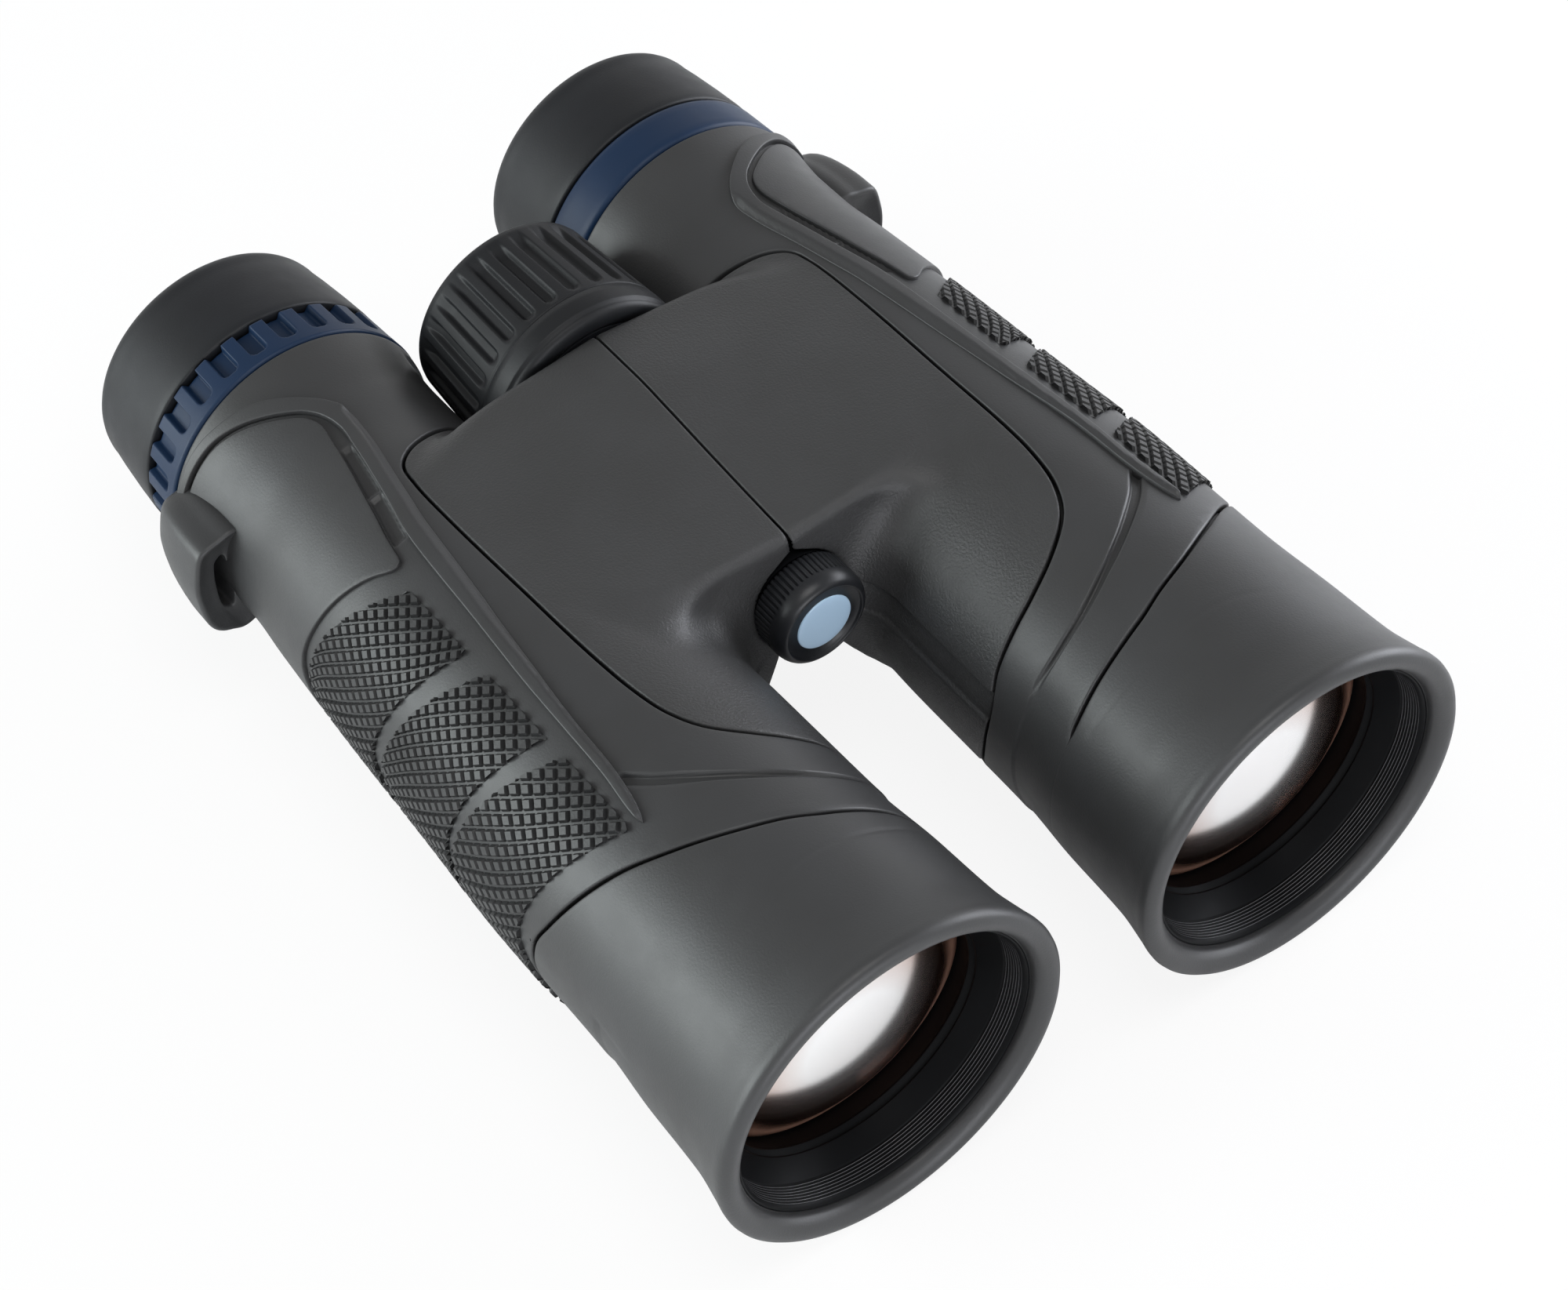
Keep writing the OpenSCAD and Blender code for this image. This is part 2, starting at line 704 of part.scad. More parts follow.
module diopter_ring() {
  groove_len = 2 * (pin_r + diopter_travel + pass_gap);
  rib_share = 0.4; // share of the pitch that stays as a rib between two pockets
  pocket_w = 2 * PI * ring_rear_r / ring_pockets * (1 - rib_share);
  smooth_len = 2.5;
  color("#1c2c4c") on_side(RIGHT) along_barrel() difference() {
    blue_ring(guide_r + run_fit);
    ring(pin_t - groove_len / 2, groove_len, guide_r + cam_depth, guide_r);
    for (i = [0:ring_pockets - 1])
      rotate([0, 0, i * 360 / ring_pockets])
        translate([ring_rear_r - pocket_depth, -pocket_w / 2, ring_t + smooth_len])
          cube([pocket_depth + cut, pocket_w, ring_len]);
  }
}

module trim_ring() {
  color("#1c2c4c") on_side(LEFT) along_barrel() blue_ring(guide_r);
}

module eyecup_guide(side) {
  color("#1a1b1e") on_side(side) along_barrel()
    ring(eyecup_t, guide_ring_len, guide_ring_r, guide_r + run_fit);
}

module eyecup(side) {
  end = overall_len;
  bevel = 1;
  seat = eyepiece_end + pass_gap;
  edge_r = eyecup_rear_r - eyecup_round;
  edge = [for (a = [0:15:90])
    [edge_r + eyecup_round * cos(a), end - eyecup_round * (1 - sin(a))]];
  color("#24272e") on_side(side) along_barrel() turned(concat(
    [[eyecup_r, eyecup_t]], edge,
    [[eyecup_mouth_r + bevel, end], [eyecup_mouth_r, end - bevel], [eyecup_mouth_r, seat],
     [guide_ring_r + run_fit, seat], [guide_ring_r + run_fit, eyecup_t]]));
}

// Two short bores or pins across the shaft, above and below it
module cross_pins(r_from, r_to, r) {
  for (turn = [0, 180])
    translate([0, 0, focus_t]) rotate([90 + turn, 0, 0]) rod(r_from, r_to - r_from, r);
}

module hinge_shaft() {
  slot_len = 2 * (cross_pin_r + focus_travel + pass_gap);
  slot_w = 2 * (cross_pin_r + run_fit);
  color("#8f9296") along_hinge() difference() {
    rod(shaft_t, shaft_end - shaft_t, shaft_r);
    rod(shaft_t - cut, socket_len + cut, insert_r);
    rod(shaft_t, shaft_end - shaft_t + cut, shaft_bore_r);
    translate([-slot_w / 2, -shaft_r - cut, focus_t - slot_len / 2])
      cube([slot_w, 2 * (shaft_r + cut), slot_len]);
  }
}

module hinge_washers() {
  thickness = washer_gap - 2 * run_fit;
  washer_r = lobe_r - 0.5;
  color("#c9cacc") along_hinge()
    for (t = [lobe_1 + end_lobe_len, lobe_3 + mid_lobe_len])
      ring(t + run_fit, thickness, washer_r, shaft_r);
}

module hinge_bushes() {
  color("#b08d4a") along_hinge()
    for (t = [lobe_2, lobe_3]) ring(t, mid_lobe_len, shaft_r + bush_wall, shaft_r + run_fit);
}

module hinge_nut() {
  color("#1b1c1e") along_hinge() ring(nut_t, lobe_1 - nut_t, nut_r, shaft_r);
}

module tripod_socket() {
  color("#b89a55") along_hinge() ring(shaft_t, socket_len, insert_r, socket_r);
}

module focus_screw() {
  tip_t = focus_t - nut_half - focus_travel - cut;
  color("#a9abae") along_hinge() {
    rod(tip_t, screw_flange_t - tip_t + cut, screw_r);
    rod(screw_flange_t, screw_flange_len, screw_flange_r);
  }
}

module focus_nut() {
  color("#b08d4a") along_hinge() {
    difference() {
      rod(focus_t - nut_half, 2 * nut_half, shaft_bore_r - run_fit);
      rod(focus_t - nut_half - cut, 2 * nut_half + 2 * cut, screw_r + run_fit);
    }
    cross_pins(shaft_bore_r - cross_pin_root, carriage_groove_r - pass_gap, cross_pin_r);
  }
}

module focus_carriage() {
  groove_w = tongue_t + 2 * run_fit;
  color("#9a9ca0") along_hinge() difference() {
    rod(focus_t - carriage_len / 2, carriage_len, carriage_r);
    rod(focus_t - carriage_len / 2 - cut, carriage_len + 2 * cut, shaft_r + run_fit);
    ring(focus_t - groove_w / 2, groove_w, carriage_r + cut, carriage_groove_r);
    cross_pins(shaft_r - cut, carriage_groove_r + cut, cross_pin_r);
  }
}

module focus_shroud() {
  slot_len = arm_w + 2 * (focus_travel + pass_gap);
  spread = asin((arm_h / 2 + pass_gap) / (lobe_r - shroud_t));
  first = web_dip - spread;
  last = web_dip + fold_max + spread;
  steps = 8;
  color("#2a2b2d") difference() {
    along_hinge() ring(bay_t, carriage_bay, lobe_r, lobe_r - shroud_t);
    on_side(RIGHT) arm_path(pass_gap);
    along_hinge() translate([0, 0, focus_t - slot_len / 2]) linear_extrude(height = slot_len)
      polygon(concat([[0, 0]], [for (i = [0:steps]) let (a = first + (last - first) * i / steps)
        (lobe_r + cut) * [cos(a), sin(a)]]));
  }
}

module wheel_hub() {
  color("#191a1c") along_hinge() difference() {
    rod(wheel_t, wheel_len - wheel_edge, hub_r);
    rod(wheel_t - cut, shaft_end + pass_gap - wheel_t + cut, shaft_r + run_fit);
    rod(shaft_end, wheel_len, screw_r);
    rod(screw_flange_t, wheel_len, screw_flange_r);
    rod(screw_flange_end, wheel_len, wheel_cap_r);
  }
}

module wheel_cap() {
  color("#141516") along_hinge()
    rod(screw_flange_end, wheel_end - wheel_edge - screw_flange_end, wheel_cap_r);
}

module wheel_grip() {
  groove_w = PI * wheel_rear_r / wheel_ribs;
  color("#26282c") along_hinge() difference() {
    turned([
      [hub_r, wheel_t], [wheel_front_r - wheel_edge, wheel_t], [wheel_front_r, wheel_t + wheel_edge],
      [wheel_rear_r, wheel_end - 2 * wheel_edge], [wheel_rear_r - 2 * wheel_edge, wheel_end],
      [wheel_cap_r, wheel_end], [wheel_cap_r, wheel_end - wheel_edge], [hub_r, wheel_end - wheel_edge]
    ]);
    for (i = [0:wheel_ribs - 1])
      rotate([0, 0, i * 360 / wheel_ribs])
        translate([wheel_rear_r - wheel_groove, -groove_w / 2, wheel_t + wheel_band])
          cube([wheel_front_r, groove_w, wheel_len]);
  }
}

module front_cap() {
  notch_w = PI * cap_r / cap_notches;
  notch_depth = 0.35;
  face_rim = 0.6;
  bevel = 2;
  knurl_t = cap_t + 3;
  color("#16171a") along_hinge() difference() {
    turned([
      [0, cap_t + inlay_t], [inlay_r, cap_t + inlay_t], [inlay_r, cap_t], [inlay_r + face_rim, cap_t],
      [cap_r, cap_t + bevel], [cap_r, cap_t + cap_len], [shaft_r + run_fit, cap_t + cap_len],
      [shaft_r + run_fit, shaft_t - pass_gap], [0, shaft_t - pass_gap]
    ]);
    for (i = [0:cap_notches - 1])
      rotate([0, 0, i * 360 / cap_notches])
        translate([cap_r - notch_depth, -notch_w / 2, knurl_t])
          cube([notch_depth + cut, notch_w, cap_len]);
  }
}

module cap_inlay() {
  color("#a9c0de") along_hinge() rod(cap_t + inlay_recess, inlay_t - inlay_recess, inlay_r);
}

chassis(RIGHT);  // right_chassis
chassis(LEFT);  // left_chassis
body_skin(RIGHT);  // right_body_skin
body_skin(LEFT);  // left_body_skin
bell_cover(RIGHT);  // right_bell_cover
bell_cover(LEFT);  // left_bell_cover
bridge_plate(RIGHT);  // right_bridge_plate
bridge_plate(LEFT);  // left_bridge_plate
baffle_ring(RIGHT);  // right_baffle_ring
baffle_ring(LEFT);  // left_baffle_ring
lens_retainer(RIGHT);  // right_lens_retainer
lens_retainer(LEFT);  // left_lens_retainer
objective_cell(RIGHT);  // right_objective_cell
objective_cell(LEFT);  // left_objective_cell
crown_lens(RIGHT);  // right_crown_lens
crown_lens(LEFT);  // left_crown_lens
flint_lens(RIGHT);  // right_flint_lens
flint_lens(LEFT);  // left_flint_lens
focus_cell(RIGHT);  // right_focus_cell
focus_cell(LEFT);  // left_focus_cell
focus_lens(RIGHT);  // right_focus_lens
focus_lens(LEFT);  // left_focus_lens
prism_cage(RIGHT);  // right_prism_cage
prism_cage(LEFT);  // left_prism_cage
half_prism(RIGHT);  // right_half_prism
half_prism(LEFT);  // left_half_prism
roof_prism(RIGHT);  // right_roof_prism
roof_prism(LEFT);  // left_roof_prism
eyepiece_tube(RIGHT);  // right_eyepiece_tube
eyepiece_tube(LEFT);  // left_eyepiece_tube
field_cell(RIGHT);  // right_field_cell
field_cell(LEFT);  // left_field_cell
field_lens(RIGHT);  // right_field_lens
field_lens(LEFT);  // left_field_lens
eye_lens(RIGHT);  // right_eye_lens
eye_lens(LEFT);  // left_eye_lens
eye_retainer(RIGHT);  // right_eye_retainer
eye_retainer(LEFT);  // left_eye_retainer
diopter_ring();
diopter_pin();
trim_ring();
eyecup_guide(RIGHT);  // right_eyecup_guide
eyecup_guide(LEFT);  // left_eyecup_guide
eyecup(RIGHT);  // right_eyecup
eyecup(LEFT);  // left_eyecup
hinge_shaft();
hinge_washers();
hinge_bushes();
hinge_nut();
tripod_socket();
focus_screw();
focus_nut();
focus_carriage();
focus_shroud();
wheel_hub();
wheel_grip();
wheel_cap();
front_cap();
cap_inlay();
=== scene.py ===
"""The looks of a pair of roof prism binoculars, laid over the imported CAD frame.

Lengths in this script are millimetres until a piece is placed in the frame. A point of a barrel
is given by its station t, from the front plane backwards, and its angle in degrees round the
barrel axis: 0 points to the hinge, 90 up, 180 outwards and 270 down. Both barrels are made alike
and mirrored.
"""

import json
import math

import bpy
import numpy as np
from mathutils import Matrix, Vector

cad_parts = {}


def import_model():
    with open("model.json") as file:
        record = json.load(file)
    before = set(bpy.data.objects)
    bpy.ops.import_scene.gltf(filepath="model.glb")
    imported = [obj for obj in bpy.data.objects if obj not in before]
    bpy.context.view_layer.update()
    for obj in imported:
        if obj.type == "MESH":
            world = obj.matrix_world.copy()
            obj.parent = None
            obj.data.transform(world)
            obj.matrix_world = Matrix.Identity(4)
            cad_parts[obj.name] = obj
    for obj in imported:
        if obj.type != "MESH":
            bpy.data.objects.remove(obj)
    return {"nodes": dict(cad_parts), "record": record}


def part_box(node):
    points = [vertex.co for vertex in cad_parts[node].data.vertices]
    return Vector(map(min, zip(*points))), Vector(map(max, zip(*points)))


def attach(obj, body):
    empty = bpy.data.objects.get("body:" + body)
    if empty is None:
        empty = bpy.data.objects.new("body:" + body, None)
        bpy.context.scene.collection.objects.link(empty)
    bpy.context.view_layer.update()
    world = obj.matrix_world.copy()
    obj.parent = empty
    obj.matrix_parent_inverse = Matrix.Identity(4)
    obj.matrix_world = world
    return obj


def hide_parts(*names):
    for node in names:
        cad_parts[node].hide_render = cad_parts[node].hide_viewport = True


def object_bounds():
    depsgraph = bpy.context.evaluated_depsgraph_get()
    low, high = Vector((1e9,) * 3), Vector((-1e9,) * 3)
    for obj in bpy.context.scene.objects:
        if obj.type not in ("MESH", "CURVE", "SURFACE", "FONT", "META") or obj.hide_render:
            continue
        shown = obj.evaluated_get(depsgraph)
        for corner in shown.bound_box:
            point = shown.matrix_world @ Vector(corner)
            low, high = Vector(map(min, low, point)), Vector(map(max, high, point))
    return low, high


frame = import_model()
cad_low, cad_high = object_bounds()

MM = 0.001
SIDES = {"right": -1, "left": 1}


# ---------------------------------------------------------------- sizes read from the frame


def centre(node, axis):
    low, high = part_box(node)
    return (low[axis] + high[axis]) / 2 / MM


def radius(node):
    low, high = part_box(node)
    return (high.z - low.z) / 2 / MM


def starts(node):
    """Station of a node's front end."""
    return (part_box(node)[0].y - cad_low.y) / MM


def ends(node):
    """Station of a node's rear end."""
    return (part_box(node)[1].y - cad_low.y) / MM


def sizes(node):
    """Stations of a node's front and rear end, and its radius."""
    return starts(node), ends(node), radius(node)


FRONT_Y = cad_low.y / MM
BARREL_X = centre("left_objective_cell", 0)
BARREL_Z = centre("left_objective_cell", 2)
HINGE_RISE = centre("hinge_shaft", 2) - BARREL_Z
RIM_R = radius("left_bell_cover")
MOUTH_R = radius("left_baffle_ring")
MOUTH_T = starts("left_baffle_ring")
BRIDGE_T = starts("left_bridge_plate")
BRIDGE_END = ends("left_bridge_plate")
LOBE_T = ends("hinge_nut")
WHEEL_T = starts("wheel_grip")
WHEEL_END = ends("wheel_grip")
WHEEL_R = radius("wheel_grip")
SKIN_END = ends("left_body_skin")

SEAM_GAP = 0.4  # between the two bridge plates
GROOVE = 0.6  # width of the parting grooves of the rubber
LOBE_ROOM_R = 9.62  # radius kept free round the hinge lobes
NUT_ROOM_R = 7.9  # radius kept free round the hinge nut
WHEEL_ROOM = 0.3  # gap between the barrels and the focus wheel
SKIN_DEPTH = 1.4  # thickness of the rubber skin
FLAT_R = 26.0  # radius of a barrel whose surface is laid flat
CURVE_STEPS = 8  # places on a smooth curve from one of its points to the next
TINY = 1e-9  # keeps divisions away from zero


# ---------------------------------------------------------------- curves and distances


def smooth_line(points):
    """A function through the points that doesn't swing beyond them."""
    x, y = np.array(points, float).T
    slope = np.diff(y) / np.diff(x)
    tangent = np.concatenate([slope[:1], np.zeros(len(x) - 2), slope[-1:]])
    product = slope[:-1] * slope[1:]
    same_way = product > 0
    tangent[1:-1][same_way] = 2 * product[same_way] / (slope[:-1] + slope[1:])[same_way]

    def at(value):
        value = np.clip(value, x[0], x[-1])
        i = np.clip(np.searchsorted(x, value) - 1, 0, len(slope) - 1)
        width = x[i + 1] - x[i]
        u = (value - x[i]) / width
        return (
            (1 + 2 * u) * (1 - u) ** 2 * y[i]
            + u * (1 - u) ** 2 * width * tangent[i]
            + u * u * (3 - 2 * u) * y[i + 1]
            + u * u * (u - 1) * width * tangent[i + 1]
        )

    return at


def step_up(value, start, end):
    """0 before start, 1 after end, and a smooth rise between them."""
    u = np.clip((value - start) / (end - start), 0, 1)
    return u * u * (3 - 2 * u)


def soft_max(a, b, width):
    """The larger value, rounded off where the two are within width of each other."""
    h = np.maximum(width - np.abs(a - b), 0) / np.maximum(width, TINY)
    return np.maximum(a, b) + h * h * width / 4


def soft_min(a, b, width):
    return -soft_max(-a, -b, width)


def flat(t, angle):
    """A point of the barrel's surface laid flat: its station, and the length round the barrel."""
    return np.stack(np.broadcast_arrays(t, np.radians(angle) * FLAT_R), axis=-1).astype(float)


def between(u, start, end, first, second):
    """The value at u of a straight line that goes from first at start to second at end."""
    return (first * (end - u) + second * (u - start)) / (end - start)


def curve_through(points, closed=True):
    """A smooth curve through (station, angle) points, laid flat. It is a centripetal Catmull-Rom
    spline."""
    p = flat(*np.array(points, float).T)
    count = len(p) if closed else len(p) - 1
    if not closed:
        p = np.concatenate([[2 * p[0] - p[1]], p, [2 * p[-1] - p[-2]]])
    line = []
    for i in range(count):
        a, b, c, d = (p[(i + k - closed) % len(p)] for k in range(4))
        pairs = ((a, b), (b, c), (c, d))
        gaps = [max(np.linalg.norm(second - first), TINY) ** 0.5 for first, second in pairs]
        knots = np.cumsum([0] + gaps)
        for u in np.linspace(knots[1], knots[2], CURVE_STEPS, endpoint=False):
            ab, bc, cd = (between(u, knots[k], knots[k + 1], *pairs[k]) for k in range(3))
            abc = between(u, knots[0], knots[2], ab, bc)
            bcd = between(u, knots[1], knots[3], bc, cd)
            line.append(between(u, knots[1], knots[2], abc, bcd))
    if not closed:
        line.append(p[-2])
    return np.array(line)


def line_distance(line, spots, closed):
    """Distance from each flat place to the line."""
    nearest = np.full(spots.shape[:-1], np.inf)
    if closed:
        line = np.concatenate([line, line[:1]])
    for a, b in zip(line, line[1:]):
        along = b - a
        share = np.clip(((spots - a) @ along) / max(along @ along, TINY), 0, 1)
        nearest = np.minimum(nearest, np.linalg.norm(spots - a - share[..., None] * along, axis=-1))
    return nearest


def outline_distance(outline, spots):
    """Distance from each flat place to a closed outline, below zero inside it."""
    inside = np.zeros(spots.shape[:-1], bool)
    for a, b in zip(outline, np.roll(outline, -1, axis=0)):
        crosses = (a[1] > spots[..., 1]) != (b[1] > spots[..., 1])
        rise = np.where(b[1] == a[1], TINY, b[1] - a[1])
        inside ^= crosses & (spots[..., 0] < a[0] + (spots[..., 1] - a[1]) * (b[0] - a[0]) / rise)
    return np.where(inside, -1, 1) * line_distance(outline, spots, True)


# ---------------------------------------------------------------- the outer surface of a barrel

barrel_r = smooth_line([
    (0, RIM_R), (1.6, RIM_R - 0.05), (3.6, 29.05), (10, 28.0), (22, 27.35), (36, 26.5),
    (48, 26.3), (60, 26.1), (80, 24.95), (102, 23.75), (122, 22.3), (132, 21.45),
    (139, 21.4), (144, 21.8), (SKIN_END, 22.6),
])
seam_rise = smooth_line(
    [(BRIDGE_T, 22.7), (83, 23.5), (93, 24.4), (102, 25.3), (110, 25.9), (BRIDGE_END, 25.9)]
)
SEAM_X = BARREL_X - SEAM_GAP / 2
SEAM_SOFTNESS = 0.3
VEE = np.array([31.9, -1.4])  # the web's lower corner, beside the free wedge under the hinge
VEE_LEAN = math.radians(22.3)
VEE_SOFTNESS = 3.0
HOLLOW = 8.0  # softness of the hollow between the bridge's front wall and the barrel
REAR_HOLLOW = 3.0
HOLLOW_STATIONS = (90, 110)  # between which the one changes into the other
HOLLOW_GROWTH = 1.3  # how fast the hollow widens with the bridge's height
LARGEST_TURN = 1.2  # radians from the bridge's edge beyond which its height stays the same
EDGE_SOFTNESS = 1.7  # between the bridge's top and its front wall
SWEPT_SOFTNESS = 5.0  # added to it where the front wall is a gentle slope
BRIDGE_SOFTNESS = 1.5  # between the bridge's underside and the rest of it
WALL_SWEEP = np.radians((12, 46))  # turns from the top's edge over which the wall gets steep
WALL_SLOPE = np.radians((28, 82))
WALL_ADVANCE = 3.0  # how much farther forward the wall's foot is where it meets the barrel
LOBE_REACH = 4.0  # how far behind the bridge the room for the hinge lobes goes
WHEEL_SPARE = (0.5, 1.0)  # room in front of the focus wheel and behind it
WHEEL_SOFTNESS = 0.6
FAR_INSIDE = -9.0


def barrel_field(p):
    """Below zero inside a barrel with its half of the bridge, and about the distance in
    millimetres near the surface. The points are (station, x, z), where x goes from the barrel
    axis to the hinge and z up."""
    t, x, z = p[..., 0], p[..., 1], p[..., 2]
    r = barrel_r(t)
    around = np.arctan2(z, x)
    out = np.hypot(x, z)
    rise = seam_rise(np.clip(t, BRIDGE_T, BRIDGE_END))
    # The bridge's top and underside are planes that touch the barrel at these two angles.
    top_angle = np.arctan2(rise, SEAM_X) + np.arccos(r / np.hypot(SEAM_X, rise))
    under_angle = np.arctan2(VEE[1], VEE[0]) - np.arccos(r / np.hypot(*VEE))
    top = out * np.cos(around - top_angle) - r
    under = out * np.cos(around - under_angle) - r
    vee = (x - VEE[0] - (z - VEE[1]) * math.tan(VEE_LEAN)) * math.cos(VEE_LEAN)
    # The front wall is steep beside the hinge, and a gentle slope where it meets the barrel.
    sweep = step_up(top_angle - around, *WALL_SWEEP)
    slope = WALL_SLOPE[0] + (WALL_SLOPE[1] - WALL_SLOPE[0]) * sweep
    wall = top * np.cos(slope) + (BRIDGE_T - WALL_ADVANCE * (1 - sweep) - t) * np.sin(slope)
    softness = EDGE_SOFTNESS + SWEPT_SOFTNESS * (1 - sweep)
    ends_and_top = soft_max(np.maximum(wall, t - BRIDGE_END), top, softness)
    bridge = soft_max(soft_max(under, vee, VEE_SOFTNESS), ends_and_top, BRIDGE_SOFTNESS)
    bridge = soft_max(bridge, x - SEAM_X, SEAM_SOFTNESS)
    turn = np.minimum(top_angle - around, around - under_angle)
    bridge = np.maximum(bridge, -turn * r)
    # The hollow beside the front wall dies out where the bridge's top meets the barrel.
    bridge_height = r / np.cos(np.clip(turn, 0, LARGEST_TURN)) - r
    hollow = HOLLOW + (REAR_HOLLOW - HOLLOW) * step_up(t, *HOLLOW_STATIONS)
    width = hollow * (1 - np.exp(-HOLLOW_GROWTH * bridge_height / hollow))
    joined = soft_min(out - r, bridge, width)
    hinge_distance = np.hypot(x - BARREL_X, z - HINGE_RISE)
    room = np.where(t < LOBE_T, NUT_ROOM_R, LOBE_ROOM_R)
    lobes = np.where(t < BRIDGE_END + LOBE_REACH, room - hinge_distance, FAR_INSIDE)
    wheel_ends = np.maximum(WHEEL_T - WHEEL_SPARE[0] - t, t - WHEEL_END - WHEEL_SPARE[1])
    wheel = np.maximum(hinge_distance - WHEEL_R - WHEEL_ROOM, wheel_ends)
    return soft_max(np.maximum(joined, lobes), -wheel, WHEEL_SOFTNESS)


RAY_SHIFT = 10.0
RAY_REACH = 30.0
FRONT_FAN = (BRIDGE_T + 1.3, 13)  # middle and half length of a stretch where the rays lean
REAR_FAN = (BRIDGE_END, 11)
RAY_START = 14.0  # a distance from the axis that is inside the barrel everywhere
RAY_END = 48.0
RAY_STEP = 0.6
HALVINGS = 14
SLOPE_REACH = 0.05


def hump(t, middle, half_length):
    """1 round the middle, and 0 well beyond the half length on both sides."""
    return np.exp(-(((t - middle) / half_length) ** 4))


def ray_shift(t):
    """How far behind the station a ray starts, so that rays meet the bridge's front and rear
    walls."""
    return RAY_SHIFT * (hump(t, *FRONT_FAN) - hump(t, *REAR_FAN))


def spun(t, r, angle):
    """(station, x, z) at a radius and an angle round an axis."""
    turn = np.radians(angle)
    return np.stack([t, r * np.cos(turn), r * np.sin(turn)], axis=-1)


def ray_point(t, angle, r):
    """(station, x, z) at distance r on the ray of a station and an angle."""
    return spun(t + ray_shift(t) * (1 - r / RAY_REACH), r, angle)


def surface_point(t, angle):
    """Where the ray of a station and an angle first leaves the barrel."""
    t, angle = np.broadcast_arrays(np.asarray(t, float), np.asarray(angle, float))

    def outside(r):
        return barrel_field(ray_point(t, angle, r)) > 0

    low = np.full(t.shape, RAY_START)
    found = np.zeros(t.shape, bool)
    for r in np.arange(RAY_START, RAY_END, RAY_STEP):
        found |= outside(np.full(t.shape, r + RAY_STEP))
        low = np.where(found, low, r + RAY_STEP)
        if found.all():
            break
    high = low + RAY_STEP
    for _ in range(HALVINGS):
        middle = (low + high) / 2
        out = outside(middle)
        high = np.where(out, middle, high)
        low = np.where(out, low, middle)
    return ray_point(t, angle, low)


def surface_normal(p):
    """The outward normal of the barrel's surface at (station, x, z) points."""
    shifts = SLOPE_REACH * np.eye(3)
    slopes = [barrel_field(p + shift) - barrel_field(p - shift) for shift in shifts]
    normal = np.stack(slopes, axis=-1)
    return normal / np.maximum(np.linalg.norm(normal, axis=-1, keepdims=True), TINY)


# ---------------------------------------------------------------- meshes


def place(points, side):
    """(station, x, z) points of a barrel, in metres in the frame."""
    p = np.asarray(points, float)
    x = side * (BARREL_X - p[..., 1])
    return np.stack([x, p[..., 0] + FRONT_Y, p[..., 2] + BARREL_Z], axis=-1) * MM


def mesh_piece(name, points, faces, body, slot, stands_for, look=None, mirrored=False, smooth=True):
    """A mesh piece on its CAD body, with its slot's look unless another one is given."""
    mesh = bpy.data.meshes.new(name)
    if mirrored:
        faces = [face[::-1] for face in faces]
    mesh.from_pydata([tuple(p) for p in points], [], faces)
    mesh.validate()
    mesh.polygons.foreach_set("use_smooth", [smooth] * len(mesh.polygons))
    mesh.materials.append(look or SLOT_LOOKS[slot])
    piece = bpy.data.objects.new(name, mesh)
    bpy.context.scene.collection.objects.link(piece)
    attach(piece, body)
    if stands_for:
        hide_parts(*stands_for)
    return piece


PROBE = 0.02  # how far from a place its slopes are taken
LEAST_SLOPE = 0.2
SNAP_SHARE = 0.35  # a place this near the line, as a share of the grid's spacing, moves onto it


def clipped_grid(t, angle, distance):
    """Cuts a grid of (station, angle) places along the line where distance is zero. Returns the
    places kept, where distance is below zero, and the faces between them, turning outwards on the
    left barrel."""
    rows, columns = t.shape
    sheet = flat(t, angle)
    spacing = min(np.median(np.linalg.norm(np.diff(sheet, axis=k), axis=-1)) for k in (0, 1))
    value = distance(t, angle)
    probe_turn = math.degrees(PROBE / FLAT_R)
    slope_t = (distance(t + PROBE, angle) - distance(t - PROBE, angle)) / (2 * PROBE)
    slope_s = (distance(t, angle + probe_turn) - distance(t, angle - probe_turn)) / (2 * PROBE)
    size = np.maximum(slope_t**2 + slope_s**2, LEAST_SLOPE)
    near = np.abs(value) < SNAP_SHARE * spacing
    t = np.where(near, t - value * slope_t / size, t)
    angle = np.where(near, angle - np.degrees(value * slope_s / size / FLAT_R), angle)
    value = np.where(near, 0, value)

    places = []
    number = {}

    def add(key, spot):
        if key not in number:
            number[key] = len(places)
            places.append(spot)
        return number[key]

    def crossing(p, q):
        u = value[p] / (value[p] - value[q])
        spot = (t[p] + u * (t[q] - t[p]), angle[p] + u * (angle[q] - angle[p]))
        return add((min(p, q), max(p, q)), spot)

    faces = []
    kept = value <= 0
    for i in range(rows - 1):
        for j in range(columns - 1):
            ring = ((i, j), (i, j + 1), (i + 1, j + 1), (i + 1, j))
            if not any(value[p] < 0 for p in ring):
                continue
            face = []
            for p, q in zip(ring, ring[1:] + ring[:1]):
                if kept[p]:
                    face.append(add(p, (t[p], angle[p])))
                if kept[p] != kept[q] and value[p] != 0 and value[q] != 0:
                    face.append(crossing(p, q))
            if len(face) > 2:
                faces.append(face)
    return np.array(places), faces


WELD_REACH = 1e-3  # points this near each other are one
EDGE_STEPS = 3  # faces across a rounded edge


def weld(points, faces):
    """Joins points that lie together, such as the two ends of a grid that runs all the way round.
    Returns the numbers of the points kept, and the faces between them."""
    keys = {}
    new = []
    kept = []
    for i, p in enumerate(np.round(points / WELD_REACH).astype(int)):
        key = tuple(p)
        if key not in keys:
            keys[key] = len(kept)
            kept.append(i)
        new.append(keys[key])
    joined = []
    for face in faces:
        ring = [new[v] for v in face]
        ring = [v for k, v in enumerate(ring) if v != ring[k - 1]]
        if len(ring) > 2:
            joined.append(ring)
    return kept, joined


